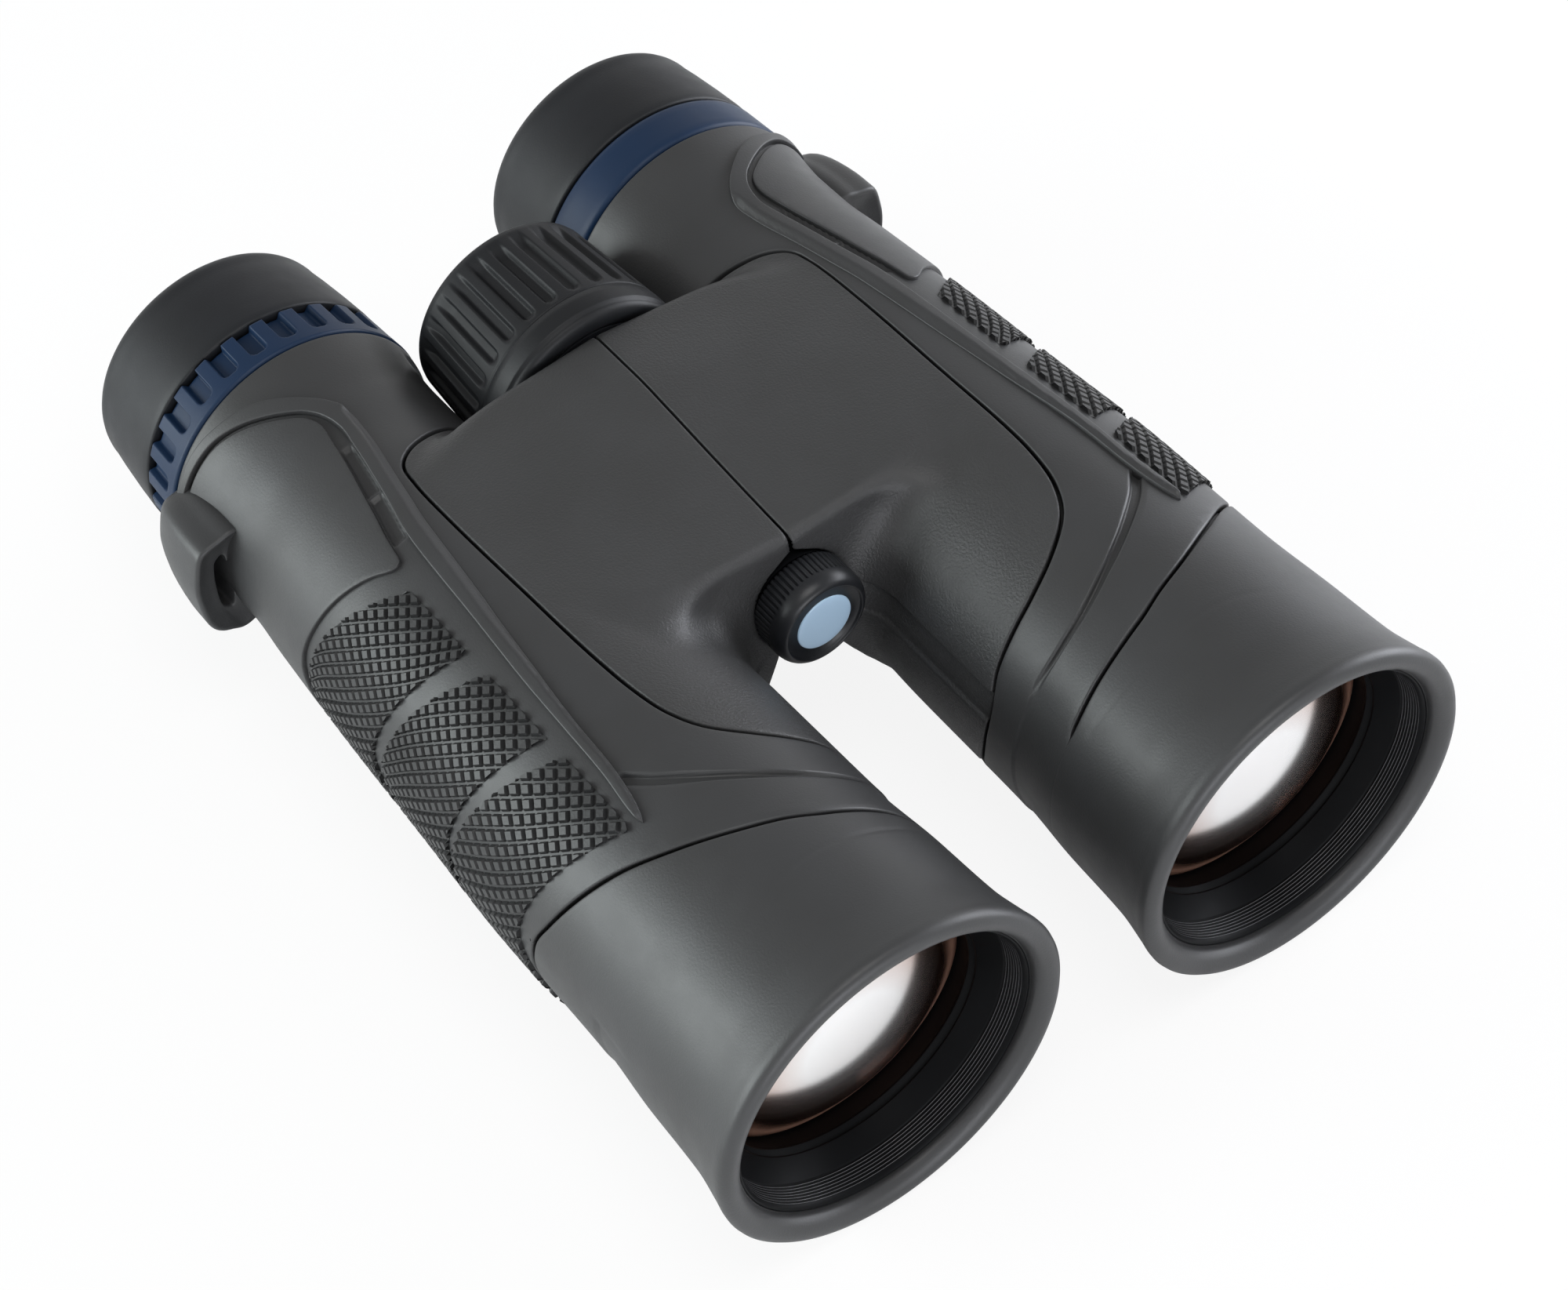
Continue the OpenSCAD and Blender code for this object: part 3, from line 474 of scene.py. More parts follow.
def border_loops(faces):
    """The borders of a sheet, each a closed loop of points in the faces' own direction."""
    used = set()
    for face in faces:
        used.update(zip(face, face[1:] + face[:1]))
    after = {a: b for a, b in used if (b, a) not in used}
    loops = []
    while after:
        start, at = next(iter(after.items()))
        loop = [start]
        del after[start]
        while at != start and at in after:
            loop.append(at)
            at = after.pop(at)
        loops.append(loop)
    return loops


def thick_sheet(top, normal, inwards, faces, edge, depth):
    """A closed solid under a sheet of points: the border is rounded off by each point's edge
    radius, then goes down by depth."""
    count = len(top)
    bottom = top + inwards * depth
    points = [top, bottom]
    solid = [list(face) for face in faces] + [[v + count for v in reversed(face)] for face in faces]
    total = 2 * count
    for loop in border_loops(faces):
        p = top[loop]
        along = np.roll(p, -1, axis=0) - np.roll(p, 1, axis=0)
        out = np.cross(along, normal[loop])
        out /= np.maximum(np.linalg.norm(out, axis=1, keepdims=True), TINY)
        previous = np.array(loop)
        size = edge[loop][:, None]
        for k in range(1, EDGE_STEPS + 2):
            turn = min(k / EDGE_STEPS, 1) * math.pi / 2
            ring = p + size * (out * math.sin(turn) - normal[loop] * (1 - math.cos(turn)))
            if k > EDGE_STEPS:
                ring = p + out * size + inwards[loop] * depth
            current = total + np.arange(len(loop))
            points.append(ring)
            total += len(loop)
            solid += strip(previous, current)
            previous = current
        solid += strip(previous, np.array(loop) + count)
    return np.concatenate(points), solid


def strip(first, second):
    """Faces between two closed rings of points, the first running in its own faces' direction."""
    a, b = np.roll(first, -1), np.roll(second, -1)
    return [[int(v) for v in face] for face in zip(a, first, second, b)]


def ring_faces(rings, count):
    """Faces of a closed surface made of rings of count points, the last joined to the first."""
    faces = []
    for k in range(rings):
        faces += strip(np.arange(count) + k * count, np.arange(count) + (k + 1) % rings * count)
    return faces


def per_place(value, t, angle):
    """The value at each place, where it may be a number or a function of the place."""
    return np.broadcast_to(value(t, angle) if callable(value) else value, t.shape)


def skin_piece(t, angle, distance, lift, edge, depth=SKIN_DEPTH):
    """(points, faces) of a closed piece of the barrel's skin, cut from its grid of places where
    distance is below zero. lift raises it over the skin and edge rounds off its border. Both may
    be functions of the place."""
    places, faces = clipped_grid(t, angle, lambda a, b: distance(a, b) + per_place(edge, a, b))
    surface = surface_point(places[:, 0], places[:, 1])
    kept, faces = weld(surface, faces)
    places, surface = places[kept], surface[kept]
    normal = surface_normal(surface)
    turn = np.radians(places[:, 1])
    lean = ray_shift(places[:, 0]) / RAY_REACH
    inwards = np.stack([lean, -np.cos(turn), -np.sin(turn)], axis=-1)
    height = per_place(lift, places[:, 0], places[:, 1])
    rounding = per_place(edge, places[:, 0], places[:, 1])
    return thick_sheet(surface + normal * height[:, None], normal, inwards, faces, rounding, depth)


def both_sides(name, shape, slot, node=None, **options):
    """The same shape on both barrels. Where node is given it stands for that CAD node."""
    points, faces = shape
    for side, sign in SIDES.items():
        body = f"{side}_barrel"
        stands_for = [f"{side}_{node}"] if node else []
        placed = place(points, sign)
        mesh_piece(f"{side}_{name}", placed, faces, body, slot, stands_for, mirrored=sign < 0, **options)


# ---------------------------------------------------------------- materials


def add_node(tree, kind, **inputs):
    """A shader node with values for its sockets, or with other nodes' outputs linked to them."""
    node = tree.nodes.new(kind)
    for name, value in inputs.items():
        socket = node.inputs[name.replace("_", " ")]
        if isinstance(value, bpy.types.NodeSocket):
            tree.links.new(value, socket)
        else:
            socket.default_value = value
    return node


def noise(tree, size, detail=2.0, roughness=0.5):
    """Noise with lumps of about this size in millimetres."""
    spot = add_node(tree, "ShaderNodeTexCoord").outputs["Object"]
    node = add_node(
        tree, "ShaderNodeTexNoise", Vector=spot, Scale=1 / (size * MM), Detail=detail, Roughness=roughness
    )
    return node.outputs["Fac"]


def ranged(tree, value, low, high, start=0.35, end=0.65):
    """The value spread between low and high."""
    node = add_node(
        tree, "ShaderNodeMapRange", Value=value, From_Min=start, From_Max=end, To_Min=low, To_Max=high
    )
    return node.outputs["Result"]


def larger(tree, first, second):
    """The larger of two values."""
    node = add_node(tree, "ShaderNodeMath", Value=first)
    node.operation = "MAXIMUM"
    tree.links.new(second, node.inputs[1])
    return node.outputs["Value"]


def mixed(tree, factor, first, second):
    """The first colour, which gives way to the second as the factor grows from 0 to 1."""
    node = tree.nodes.new("ShaderNodeMix")
    node.data_type = "RGBA"
    tree.links.new(factor, node.inputs["Factor"])
    node.inputs["A"].default_value = (*first, 1)
    node.inputs["B"].default_value = (*second, 1)
    return node.outputs["Result"]


def new_surface(name, **sockets):
    """A new material, with its node tree and its shader, whose own sockets get these values."""
    material = bpy.data.materials.new(name)
    material.use_nodes = True
    shader = material.node_tree.nodes["Principled BSDF"]
    for socket, value in sockets.items():
        shader.inputs[socket.replace("_", " ")].default_value = value
    return material, material.node_tree, shader


PATCH = 14.0  # size of the large patches of a surface
ROUGHNESS_SWAY = 0.05  # share by which its roughness wanders up and down


def finish(name, first, second, roughness, grain, height, gloss=0.5, **sockets):
    """A surface whose colour wanders between two tones in large patches, whose roughness wanders
    too, and whose grain has this size and height in millimetres."""
    material, tree, shader = new_surface(name, Specular_IOR_Level=gloss, **sockets)
    patches = ranged(tree, noise(tree, PATCH, detail=4.0), 0.0, 1.0)
    tree.links.new(mixed(tree, patches, first, second), shader.inputs["Base Color"])
    rubs = noise(tree, PATCH / 3, detail=5.0)
    smooth, rough = roughness * (1 - ROUGHNESS_SWAY), roughness * (1 + ROUGHNESS_SWAY)
    tree.links.new(ranged(tree, rubs, smooth, rough), shader.inputs["Roughness"])
    lumps = noise(tree, grain, detail=3.0, roughness=0.6)
    fine = add_node(tree, "ShaderNodeBump", Height=lumps, Strength=1.0, Distance=height * MM)
    tree.links.new(fine.outputs["Normal"], shader.inputs["Normal"])
    return material


def grey(level, blue=0.0):
    """A grey, with this share of blue added."""
    return (level, level * (1 + blue * 0.3), level * (1 + blue))


pad_rubber = finish(
    "pad_rubber", grey(0.019, 0.03), grey(0.024, 0.05),
    roughness=0.42, grain=0.35, height=0.03, gloss=0.36,
)
# A lighter grey for the baffle's thread crests, a painted highlight along them.
painted_crest_highlight = finish(
    "painted_crest_highlight", grey(0.10, 0.1), grey(0.13, 0.1), roughness=0.3, grain=0.1, height=0.001
)


# Reaches, as shares of a lens's radius, over which its coating turns to the rim tint, partly a painted
# reflection, and its rim turns matt.
PAINTED_RIM_SPAN = (0.38, 0.8)
GROUND_EDGE = (0.8, 0.92)
EDGE_ROUGHNESS = 0.55
DUST_ROUGHNESS = 0.006
GLANCING = (0.03, 0.26)  # facing values over which the coating's mirror share changes


def glass(name, tint, painted_rim_tint=None, rough=0.0, mirror=None, **sockets):
    """Optical glass. Its coating gives it a tint, and the share of it that is metallic reflects
    like a mirror: mirror gives that share seen straight on and at a glancing angle. With a rim
    tint the coating's colour turns towards it near the rim, by the mesh's own attribute reach:
    partly the coating's tint, partly a painted brown reflection. The rim itself is ground."""
    material, tree, shader = new_surface(name, Transmission_Weight=1.0, IOR=1.5, **sockets)
    if painted_rim_tint:
        reach = add_node(tree, "ShaderNodeAttribute")
        reach.attribute_name = "reach"
        # Towards the rim the colour turns to the rim tint: partly coating tint, partly a painted
        # reflection.
        outer = ranged(tree, reach.outputs["Fac"], 0.0, 1.0, *PAINTED_RIM_SPAN)
        colour = mixed(tree, outer, tint, painted_rim_tint)
    else:
        clear = ranged(tree, noise(tree, 12.0, detail=3.0), 0.0, 1.0)
        colour = mixed(tree, clear, tint, tuple(v * 0.96 for v in tint))
    tree.links.new(colour, shader.inputs["Base Color"])
    dust = ranged(tree, noise(tree, 1.5, detail=6.0), rough, rough + DUST_ROUGHNESS)
    if painted_rim_tint:
        dust = ranged(tree, reach.outputs["Fac"], dust, EDGE_ROUGHNESS, *GROUND_EDGE)
    tree.links.new(dust, shader.inputs["Roughness"])
    if mirror:
        facing = add_node(tree, "ShaderNodeLayerWeight", Blend=0.5).outputs["Facing"]
        tree.links.new(ranged(tree, facing, *mirror, *GLANCING), shader.inputs["Metallic"])
    return material


# The brown rim tint of the front glass is in part a painted reflection.
front_glass = glass("front_glass", (1.0, 0.995, 0.99), (0.50, 0.28, 0.20), rough=0.17, mirror=(0.06, 0.92))

SLOT_LOOKS = {
    "skin_rubber": finish(
        "armour_rubber", grey(0.031, 0.03), grey(0.034, 0.06),
        roughness=0.44, grain=0.35, height=0.03, gloss=0.45,
    ),
    "plate_rubber": finish(
        "plate_rubber", grey(0.031, 0.02), grey(0.035, 0.04),
        roughness=0.44, grain=0.4, height=0.12, gloss=0.45,
    ),
    "eyecup_rubber": finish(
        "eyecup_rubber", grey(0.007, 0.35), grey(0.009, 0.4),
        roughness=0.5, grain=0.3, height=0.02, gloss=0.32,
    ),
    "wheel_rubber": finish(
        "wheel_rubber", grey(0.006, 0.3), grey(0.008, 0.3),
        roughness=0.5, grain=0.3, height=0.02, gloss=0.3,
    ),
    "black_plastic": finish(
        "black_plastic", grey(0.009, 0.3), grey(0.012, 0.3),
        roughness=0.38, grain=0.25, height=0.01, gloss=0.45,
    ),
    "blue_plastic": finish(
        "blue_plastic", (0.005, 0.018, 0.048), (0.006, 0.021, 0.056),
        roughness=0.44, grain=0.25, height=0.01, gloss=0.25,
    ),
    "inlay": finish(
        "inlay_blue", (0.43, 0.60, 0.77), (0.45, 0.62, 0.79), roughness=0.25, grain=0.4, height=0.003
    ),
    "black_anodised": finish(
        "black_anodised", grey(0.002, 0.3), grey(0.003, 0.3),
        roughness=0.45, grain=0.12, height=0.001, gloss=0.08,
    ),
    "alloy": finish(
        "dark_alloy", grey(0.012), grey(0.016), roughness=0.5, grain=0.2, height=0.01, gloss=0.3
    ),
    "bare_alloy": finish(
        "bare_alloy", grey(0.55), grey(0.60), roughness=0.32, grain=0.1, height=0.004, Metallic=1.0
    ),
    "steel": finish(
        "steel", grey(0.42), grey(0.47), roughness=0.28, grain=0.1, height=0.003, Metallic=1.0
    ),
    "brass": finish(
        "brass", (0.62, 0.42, 0.16), (0.66, 0.46, 0.19),
        roughness=0.3, grain=0.1, height=0.004, Metallic=1.0,
    ),
    "coated_glass": glass("coated_glass", (0.50, 0.33, 0.27), Metallic=0.35),
    "prism_glass": glass("prism_glass", (0.86, 0.88, 0.88)),
}


# ---------------------------------------------------------------- the rubber armour

OUTER = 178.0  # the angle about which the pads and the rear panel are alike above and below
WRAP = 360 - OUTER


def wrapped(angle):
    """The same angle between -182 and 178 degrees. The groove, the crease, the channel and the
    ridge are drawn with it, so that they stay on the upper half of the barrel."""
    return (angle + WRAP) % 360 - WRAP


parting_line = smooth_line([
    (-90, 33), (-60, 29.5), (-30, 26), (0, 24.3), (26, 24.3), (50, 25.4), (70, 27), (81, 28.8),
    (93, 30.8), (113, 35.2), (130, 39.4), (162, 45.9), (176, 48.6), (190, 49.6), (204, 48.4),
    (218, 45), (240, 38.8), (270, 33),
])
plate_outline = curve_through([
    (127.1, 20), (127.1, 40), (127.0, 55), (125.9, 68), (124.0, 80), (121.6, 86.5), (117.5, 88.6),
    (105, 89.5), (85, 89), (67, 88.3), (60.4, 87), (54.5, 84), (49.6, 78), (45.6, 66), (43.4, 53),
    (42.4, 40), (41.6, 26), (40.4, 14), (40.6, 2), (42.2, -14), (46, -30), (54, -37), (70, -38),
    (100, -38), (118, -37), (125.4, -31), (127.1, -16), (127.1, 0),
])


def grid(stations, angles):
    return np.meshgrid(stations, angles, indexing="ij")


def stepped(*spans):
    """Places along spans of (start, end, step), each of which starts where the last one ends."""
    parts = [np.linspace(a, b, max(round((b - a) / step), 1), endpoint=False) for a, b, step in spans]
    return np.concatenate(parts + [[spans[-1][1]]])


def plate_distance(t, angle):
    return outline_distance(plate_outline, flat(t, angle))


def parted(t, angle):
    """1 where the front cover and the body part in a groove, and 0 on the hinge side, where the
    joint is closed."""
    return np.maximum(step_up(wrapped(angle), 27, 31), step_up(t, 35, 38))


# Angles and stations of the wide groove, which runs outwards from beside the hinge.
GROOVE_PLACES = [
    (28, 33.8), (41, 33.8), (53, 34.3), (63, 35.3), (78, 38.3), (92, 42.2),
    (103, 46.2), (110, 49.6),
]
GROOVE_START = GROOVE_PLACES[0][1]
GROOVE_DEPTH = 0.8
GROOVE_HALF_WIDTH = 0.5
GROOVE_WIDENING = 0.35
groove_station = smooth_line(GROOVE_PLACES)
wide_groove = curve_through([(t, angle) for angle, t in GROOVE_PLACES], closed=False)
bell_crease = curve_through(
    [(22.7, 176), (18, 140), (18.6, 115), (21.2, 95), (21.8, 80), (21.4, 63), (21.3, 49), (21.8, 34)],
    closed=False,
)
CREASE_DEPTH = 0.07
LEDGE_DEPTH = 0.25
CHANNEL_T = (107.0, 130.5)
CHANNEL_DEPTH = 0.7
CHANNEL_RIB_T = 119.6


def skin_relief(t, angle):
    """Height of the armour's wide groove, of the crease in the bell, and of the ledge on the
    hinge side."""
    wrap = wrapped(angle)
    sheet = flat(t, wrap)
    half_width = GROOVE_HALF_WIDTH + GROOVE_WIDENING * step_up(wrap, 40, 105)
    from_edge = line_distance(wide_groove, sheet, False) - half_width
    groove = -GROOVE_DEPTH * (1 - step_up(from_edge, -0.25, 0.1)) * step_up(wrap, 26, 45)
    from_crease = line_distance(bell_crease, sheet, False)
    crease = -CREASE_DEPTH * (1 - step_up(from_crease, 0, 0.6)) * (1 - step_up(wrap, 90, 125))
    ahead = groove_station(wrap) - t
    ledge = -LEDGE_DEPTH * step_up(ahead, -0.2, 0.3) * (1 - step_up(ahead, 1, 12))
    return np.minimum(np.minimum(groove, crease), ledge * step_up(40 - wrap, 0, 12))


FRONT_FADE = 11.0
REAR_FADE = 28.0


def follow_groove(t, angle):
    """Moves stations so that the grid's lines run along the wide groove, and far from it straight
    round the barrel."""
    away = t - GROOVE_START
    fade = np.where(away < 0, FRONT_FADE, REAR_FADE)
    return t + (groove_station(wrapped(angle)) - GROOVE_START) * np.exp(-((away / fade) ** 2))


def channel(t, angle):
    """Depth of the channel between the rear panel and the ridge, with the small rib across it."""
    wrap = wrapped(angle)
    from_panel = outline_distance(panel_outline, flat(t, wrap))
    beside = step_up(from_panel, 0.05, 0.45) * (1 - step_up(from_panel, 3.2, 3.8))
    beside = beside * step_up(ridge_distance(t, angle), 0.05, 0.45)
    start, end = CHANNEL_T
    within = step_up(t, start, start + 1) * (1 - step_up(t, end - 1, end))
    within = within * step_up(np.abs(t - CHANNEL_RIB_T), 0.15, 0.5)
    upper = step_up(wrap, 88, 90) * (1 - step_up(wrap, 112, 114))
    return CHANNEL_DEPTH * beside * within * upper


def body_distance(t, angle):
    """Distance to the body's skin, which has a hole for the bridge plate."""
    front = parting_line(angle) + GROOVE * parted(t, angle) - t
    rear = t - SKIN_END
    hole = GROOVE - plate_distance(t, angle)
    return np.maximum(np.maximum(front, rear), hole)


WEB_STEP = 18.5  # angle of the step on the plate's side that faces the other barrel
WEB_FOOT = 7.0
WEB_DEPTH = 0.6


def plate_relief(t, angle):
    """The sunken band along the side of the plate that faces the other barrel."""
    band = step_up(WEB_STEP - angle, -0.3, 0.3) - step_up(WEB_FOOT - angle, -1.0, 1.0)
    return -WEB_DEPTH * band * (1 - step_up(t, 64, 71))


EDGE_COLUMN = 33.5  # the angle of the grid's columns that run along the edge beside the seam
EDGE_REACH = 12.0  # about how far from them the columns still bend


def bridge_plate():
    stations = stepped((38, 69, 1.0), (69, 79, 0.25), (79, 116, 1.0), (116, 126, 0.35), (126, 129, 0.5))
    columns = stepped(
        (-44, 4, 1.6), (4, 14, 0.6), (14, 21, 0.3), (21, 29, 0.8),
        (29, 38, 0.3), (38, 46, 0.8), (46, 92, 1.4),
    )
    t, column = grid(stations, columns)
    edge_angle = np.degrees(np.arctan2(seam_rise(t), SEAM_X))
    bend = np.exp(-(((column - EDGE_COLUMN) / EDGE_REACH) ** 2))
    angle = column + (edge_angle - EDGE_COLUMN) * bend
    return skin_piece(t, angle, plate_distance, lift=plate_relief, edge=0.35)


def groove_edge(t, angle):
    """Rounding of the armour's edges at the parting groove."""
    return 0.02 + 0.33 * parted(t, angle)


def body_skin():
    stations = stepped(
        (22, 32.6, 0.9), (32.6, 35.0, 0.2), (35, 37, 0.5), (37, 104, 0.9),
        (104, 132, 0.45), (132, SKIN_END + 1, 0.9),
    )
    angles = stepped(
        (-90, 92, 2.0), (92, 114, 0.7), (114, OUTER, 2.0),
        (OUTER, 242, 2.0), (242, 264, 0.7), (264, 270, 2.0),
    )
    t, angle = grid(stations, angles)
    t = follow_groove(t, angle)
    return skin_piece(
        t, angle, body_distance, lift=lambda a, b: skin_relief(a, b) - channel(a, b), edge=groove_edge
    )


BELL_STEPS = 240
BELL_T = 2.1  # station where the front cover's rim passes into the barrel


def bell_cover():
    """The front cover: a chamfered lip, a rounded rim, and the barrel up to the parting line."""
    lip = [(MOUTH_T, 0.1), (1.5, 0.5), (0.75, 0.95), (0.3, 1.5), (0.05, 2.2), (0.0, 2.9), (0.25, 3.6)]
    rings = [(t, MOUTH_R + out) for t, out in lip] + [(0.8, RIM_R - 0.2), (1.4, RIM_R - 0.05)]
    angles = np.linspace(-90, 270, BELL_STEPS, endpoint=False)
    joint = parting_line(angles)
    edge = groove_edge(joint, angles)
    for share in np.linspace(0, 1, 64):
        t = BELL_T + share * (joint - edge - BELL_T)
        rings.append((t, barrel_r(t) + skin_relief(t, angles) * step_up(t, 5, 9)))
    height = skin_relief(joint - edge, angles)
    for turn in np.radians((30, 60, 90)):
        t = joint - edge + edge * math.sin(turn)
        rings.append((t, barrel_r(t) + height - edge * (1 - math.cos(turn))))
    rings += [(joint, barrel_r(joint) - SKIN_DEPTH), (MOUTH_T + 1, MOUTH_R + 1.6)]
    points = [spun(*np.broadcast_arrays(t, r, angles)) for t, r in rings]
    faces = ring_faces(len(rings), BELL_STEPS)
    return np.concatenate(points), [face[::-1] for face in faces]


PAD_TOP = 117.5
PAD_SPAN = OUTER - PAD_TOP
PAD_R = 0.95 * FLAT_R
PAD_BEND = 1.4  # how the pads' arcs bend: straight lines would be 1
PAD_PITCH = 2.0
PAD_HEIGHT = 0.65
PAD_FLOOR = 0.05
FURROW = 0.15  # half width of a furrow's floor
SHOULDER = 0.44  # half width of a furrow at the tops of its pyramids
PAD_LINES = np.radians((42.0, 138.0))  # directions of the furrows, from the barrel's axis
ACROSS = np.array([(-math.sin(v), math.cos(v)) for v in PAD_LINES])  # directions across them
# Front and rear arcs of the three grip pads: the station at the pad's upper edge, and at its
# outermost point.
PADS = (((81.7, 91.9), (99.0, 112.3)), ((62.0, 69.5), (76.6, 89.3)), ((42.2, 52.2), (58.6, 68.4)))


def pad_distance(arcs, t, angle):
    """Distance to the crescent between a pad's two arcs. The factors allow for the arcs' slant."""
    from_outer = np.abs(angle - OUTER)
    swing = (from_outer / PAD_SPAN) ** PAD_BEND
    front, rear = (out + (top - out) * swing for top, out in arcs)
    upper = np.radians(from_outer - PAD_SPAN) * PAD_R
    return np.maximum(soft_max((front - t) * 0.97, (t - rear) * 0.95, 1.0), upper)


def pyramids(t, angle):
    """Height of the pads' blunt pyramids."""
    along = flat(t, angle) @ ACROSS.T / PAD_PITCH
    from_furrow = np.abs(along - np.round(along)).min(axis=-1) * PAD_PITCH
    return PAD_FLOOR + PAD_HEIGHT * np.clip((from_furrow - FURROW) / (SHOULDER - FURROW), 0, 1)


def pad(arcs):
    """One grip pad. Its grid runs along the furrows, with lines at the foot and the shoulder of
    every pyramid."""
    ends_t = (arcs[0][0], arcs[1][1])
    corners = flat(*np.array([(t, OUTER + turn) for t in ends_t for turn in (-PAD_SPAN, PAD_SPAN)]).T)
    profile = np.array([-SHOULDER, -FURROW, FURROW, SHOULDER]) / PAD_PITCH
    marks = []
    for normal in ACROSS:
        reach = corners @ normal / PAD_PITCH
        whole = np.arange(math.floor(reach.min()), math.ceil(reach.max()) + 1)
        marks.append((whole[:, None] + profile).ravel() * PAD_PITCH)
    second, first = grid(marks[1], marks[0])
    sheet = np.stack([first, second], axis=-1) @ np.linalg.inv(ACROSS).T
    angle = np.degrees(sheet[..., 1] / FLAT_R)
    return skin_piece(
        sheet[..., 0], angle, lambda t, a: pad_distance(arcs, t, a), lift=pyramids, edge=0.15, depth=0.9
    )


panel_outline = curve_through([
    (146.8, 178), (146.6, 160), (146.3, 147), (145.5, 135), (144.1, 126), (142.1, 117), (139.6, 108.5),
    (137.2, 102), (134.6, 99.4), (131, 101.2), (125.3, 104.2), (120.2, 106.8), (111.5, 110.7),
    (106, 112.5), (104.0, 113.5), (103.6, 116.6), (106, 125), (108.7, 136), (110.9, 146.2),
    (112.9, 158), (114.4, 169.7), (114.8, 178),
], closed=False)
mirrored_panel = 2 * flat(0, OUTER) + panel_outline * [1, -1]
panel_outline = np.concatenate([panel_outline, mirrored_panel[-2:0:-1]])
RIDGE_RIGHT = [
    (41.6, 114.6), (44, 112.3), (50.9, 109.6), (60.5, 108.3), (66.6, 107), (74.5, 105),
    (83, 103), (93, 100.6), (103.2, 98), (112.8, 95.3), (122.5, 91.4), (131, 87.2),
    (134.2, 86.6),
]
RIDGE_REAR = [
    (137.4, 90.8), (140.8, 98.6), (144.0, 108.7), (145.9, 118.2), (147.1, 128.2),
    (148.2, 140.2), (148.7, 160), (148.8, 178),
]
RIDGE_INNER = [
    (147.4, 178), (147.2, 160), (146.9, 147), (146.1, 134.6), (144.7, 125.2),
    (142.7, 116), (140.3, 107.2), (137.9, 100.4), (135.4, 96.4), (132.4, 94.6),
    (129, 96.2), (122.9, 99), (111.1, 104), (104, 106.1), (93.4, 107.9), (82.9, 109.3),
    (71, 111.2), (61.4, 112.2), (51.6, 113.2), (44.2, 114.9),
]
ridge_outline = curve_through(RIDGE_RIGHT + RIDGE_REAR + RIDGE_INNER)
ridge_slope_line = curve_through(RIDGE_RIGHT, closed=False)
RIDGE_FOOT = 0.1
RIDGE_HEIGHT = 1.0


def ridge_distance(t, angle):
    return outline_distance(ridge_outline, flat(t, wrapped(angle)))


def ridge_height(t, angle):
    """The ridge has a flat top and a wide slope on the side of the hinge, which dies out towards
    the front."""
    slope_width = 0.35 + 1.1 * step_up(t, 62, 90)
    inwards = line_distance(ridge_slope_line, flat(t, wrapped(angle)), False)
    return RIDGE_FOOT + RIDGE_HEIGHT * np.clip(inwards / slope_width, 0, 1)


def ridge(upper):
    """The ridge beside the pads and the rear panel. Its outline ends at OUTER, so that the lower
    piece only has the last 0.4 degrees of it."""
    stations = stepped((40, 132, 0.7), (132, 150, 0.4))
    angles = stepped((84, 94, 0.8), (94, 118, 0.8), (118, OUTER + 0.4, 1.6))
    if not upper:
        angles = (2 * OUTER - angles)[::-1]
    return skin_piece(*grid(stations, angles), ridge_distance, lift=ridge_height, edge=0.2, depth=2.2)


def panel_distance(t, angle):
    return outline_distance(panel_outline, flat(t, angle))


def panel():
    """The raised panel at a barrel's rear, alike above and below OUTER."""
    places = grid(stepped((102, 148, 0.7)), stepped((98, 258, 1.6)))
    return skin_piece(*places, panel_distance, lift=0.7, edge=0.22, depth=2.0)


# ---------------------------------------------------------------- strap lugs

LUG_LENGTH = 15.2
LUG_T = SKIN_END - LUG_LENGTH
LUG_STEPS = 96
LUG_MIDDLE = np.array([15.0, -1.0])
LUG_SECTION = [
    (20.0, 9.4), (23.5, 8.9), (26.1, 8.2), (27.2, 7.0), (28.0, 3.8), (28.4, 0.4),
    (28.0, -4.0), (27.2, -7.6), (25.9, -9.8), (23.8, -11.0), (20.4, -11.6),
    (14.0, -7.0), (14.0, 6.0),
]
LUG_HOLLOW = 1.2  # depth of the hollow in the lug's front face
LUG_EDGE = 0.045  # share of the section that the rounding of its front edge takes
LUG_EDGE_LENGTH = 0.6
SLOT_SECTION = [
    (22.3, 4.0), (23.6, 3.9), (24.2, 2.6), (24.4, -1.0), (24.1, -5.0), (23.4, -6.6),
    (22.0, -6.7), (21.7, -1.2),
]
SLOT_LIP = 0.3
SLOT_FLARE = 0.12  # share by which the slot widens at its mouth


def closed_curve(points, count):
    """This many evenly spaced places on a closed smooth curve through (out, up) points."""
    p = np.array(points, float)
    line = []
    for i in range(len(p)):
        a, b, c, d = (p[(i + k - 1) % len(p)] for k in range(4))
        for u in np.linspace(0, 1, CURVE_STEPS, endpoint=False):
            square = (2 * a - 5 * b + 4 * c - d) * u * u
            line.append(0.5 * (2 * b + (c - a) * u + square + (3 * b - a - 3 * c + d) * u**3))
    line = np.array(line + line[:1])
    length = np.concatenate([[0], np.cumsum(np.linalg.norm(np.diff(line, axis=0), axis=1))])
    even = np.linspace(0, length[-1], count, endpoint=False)
    return np.stack([np.interp(even, length, line[:, k]) for k in (0, 1)], axis=-1)


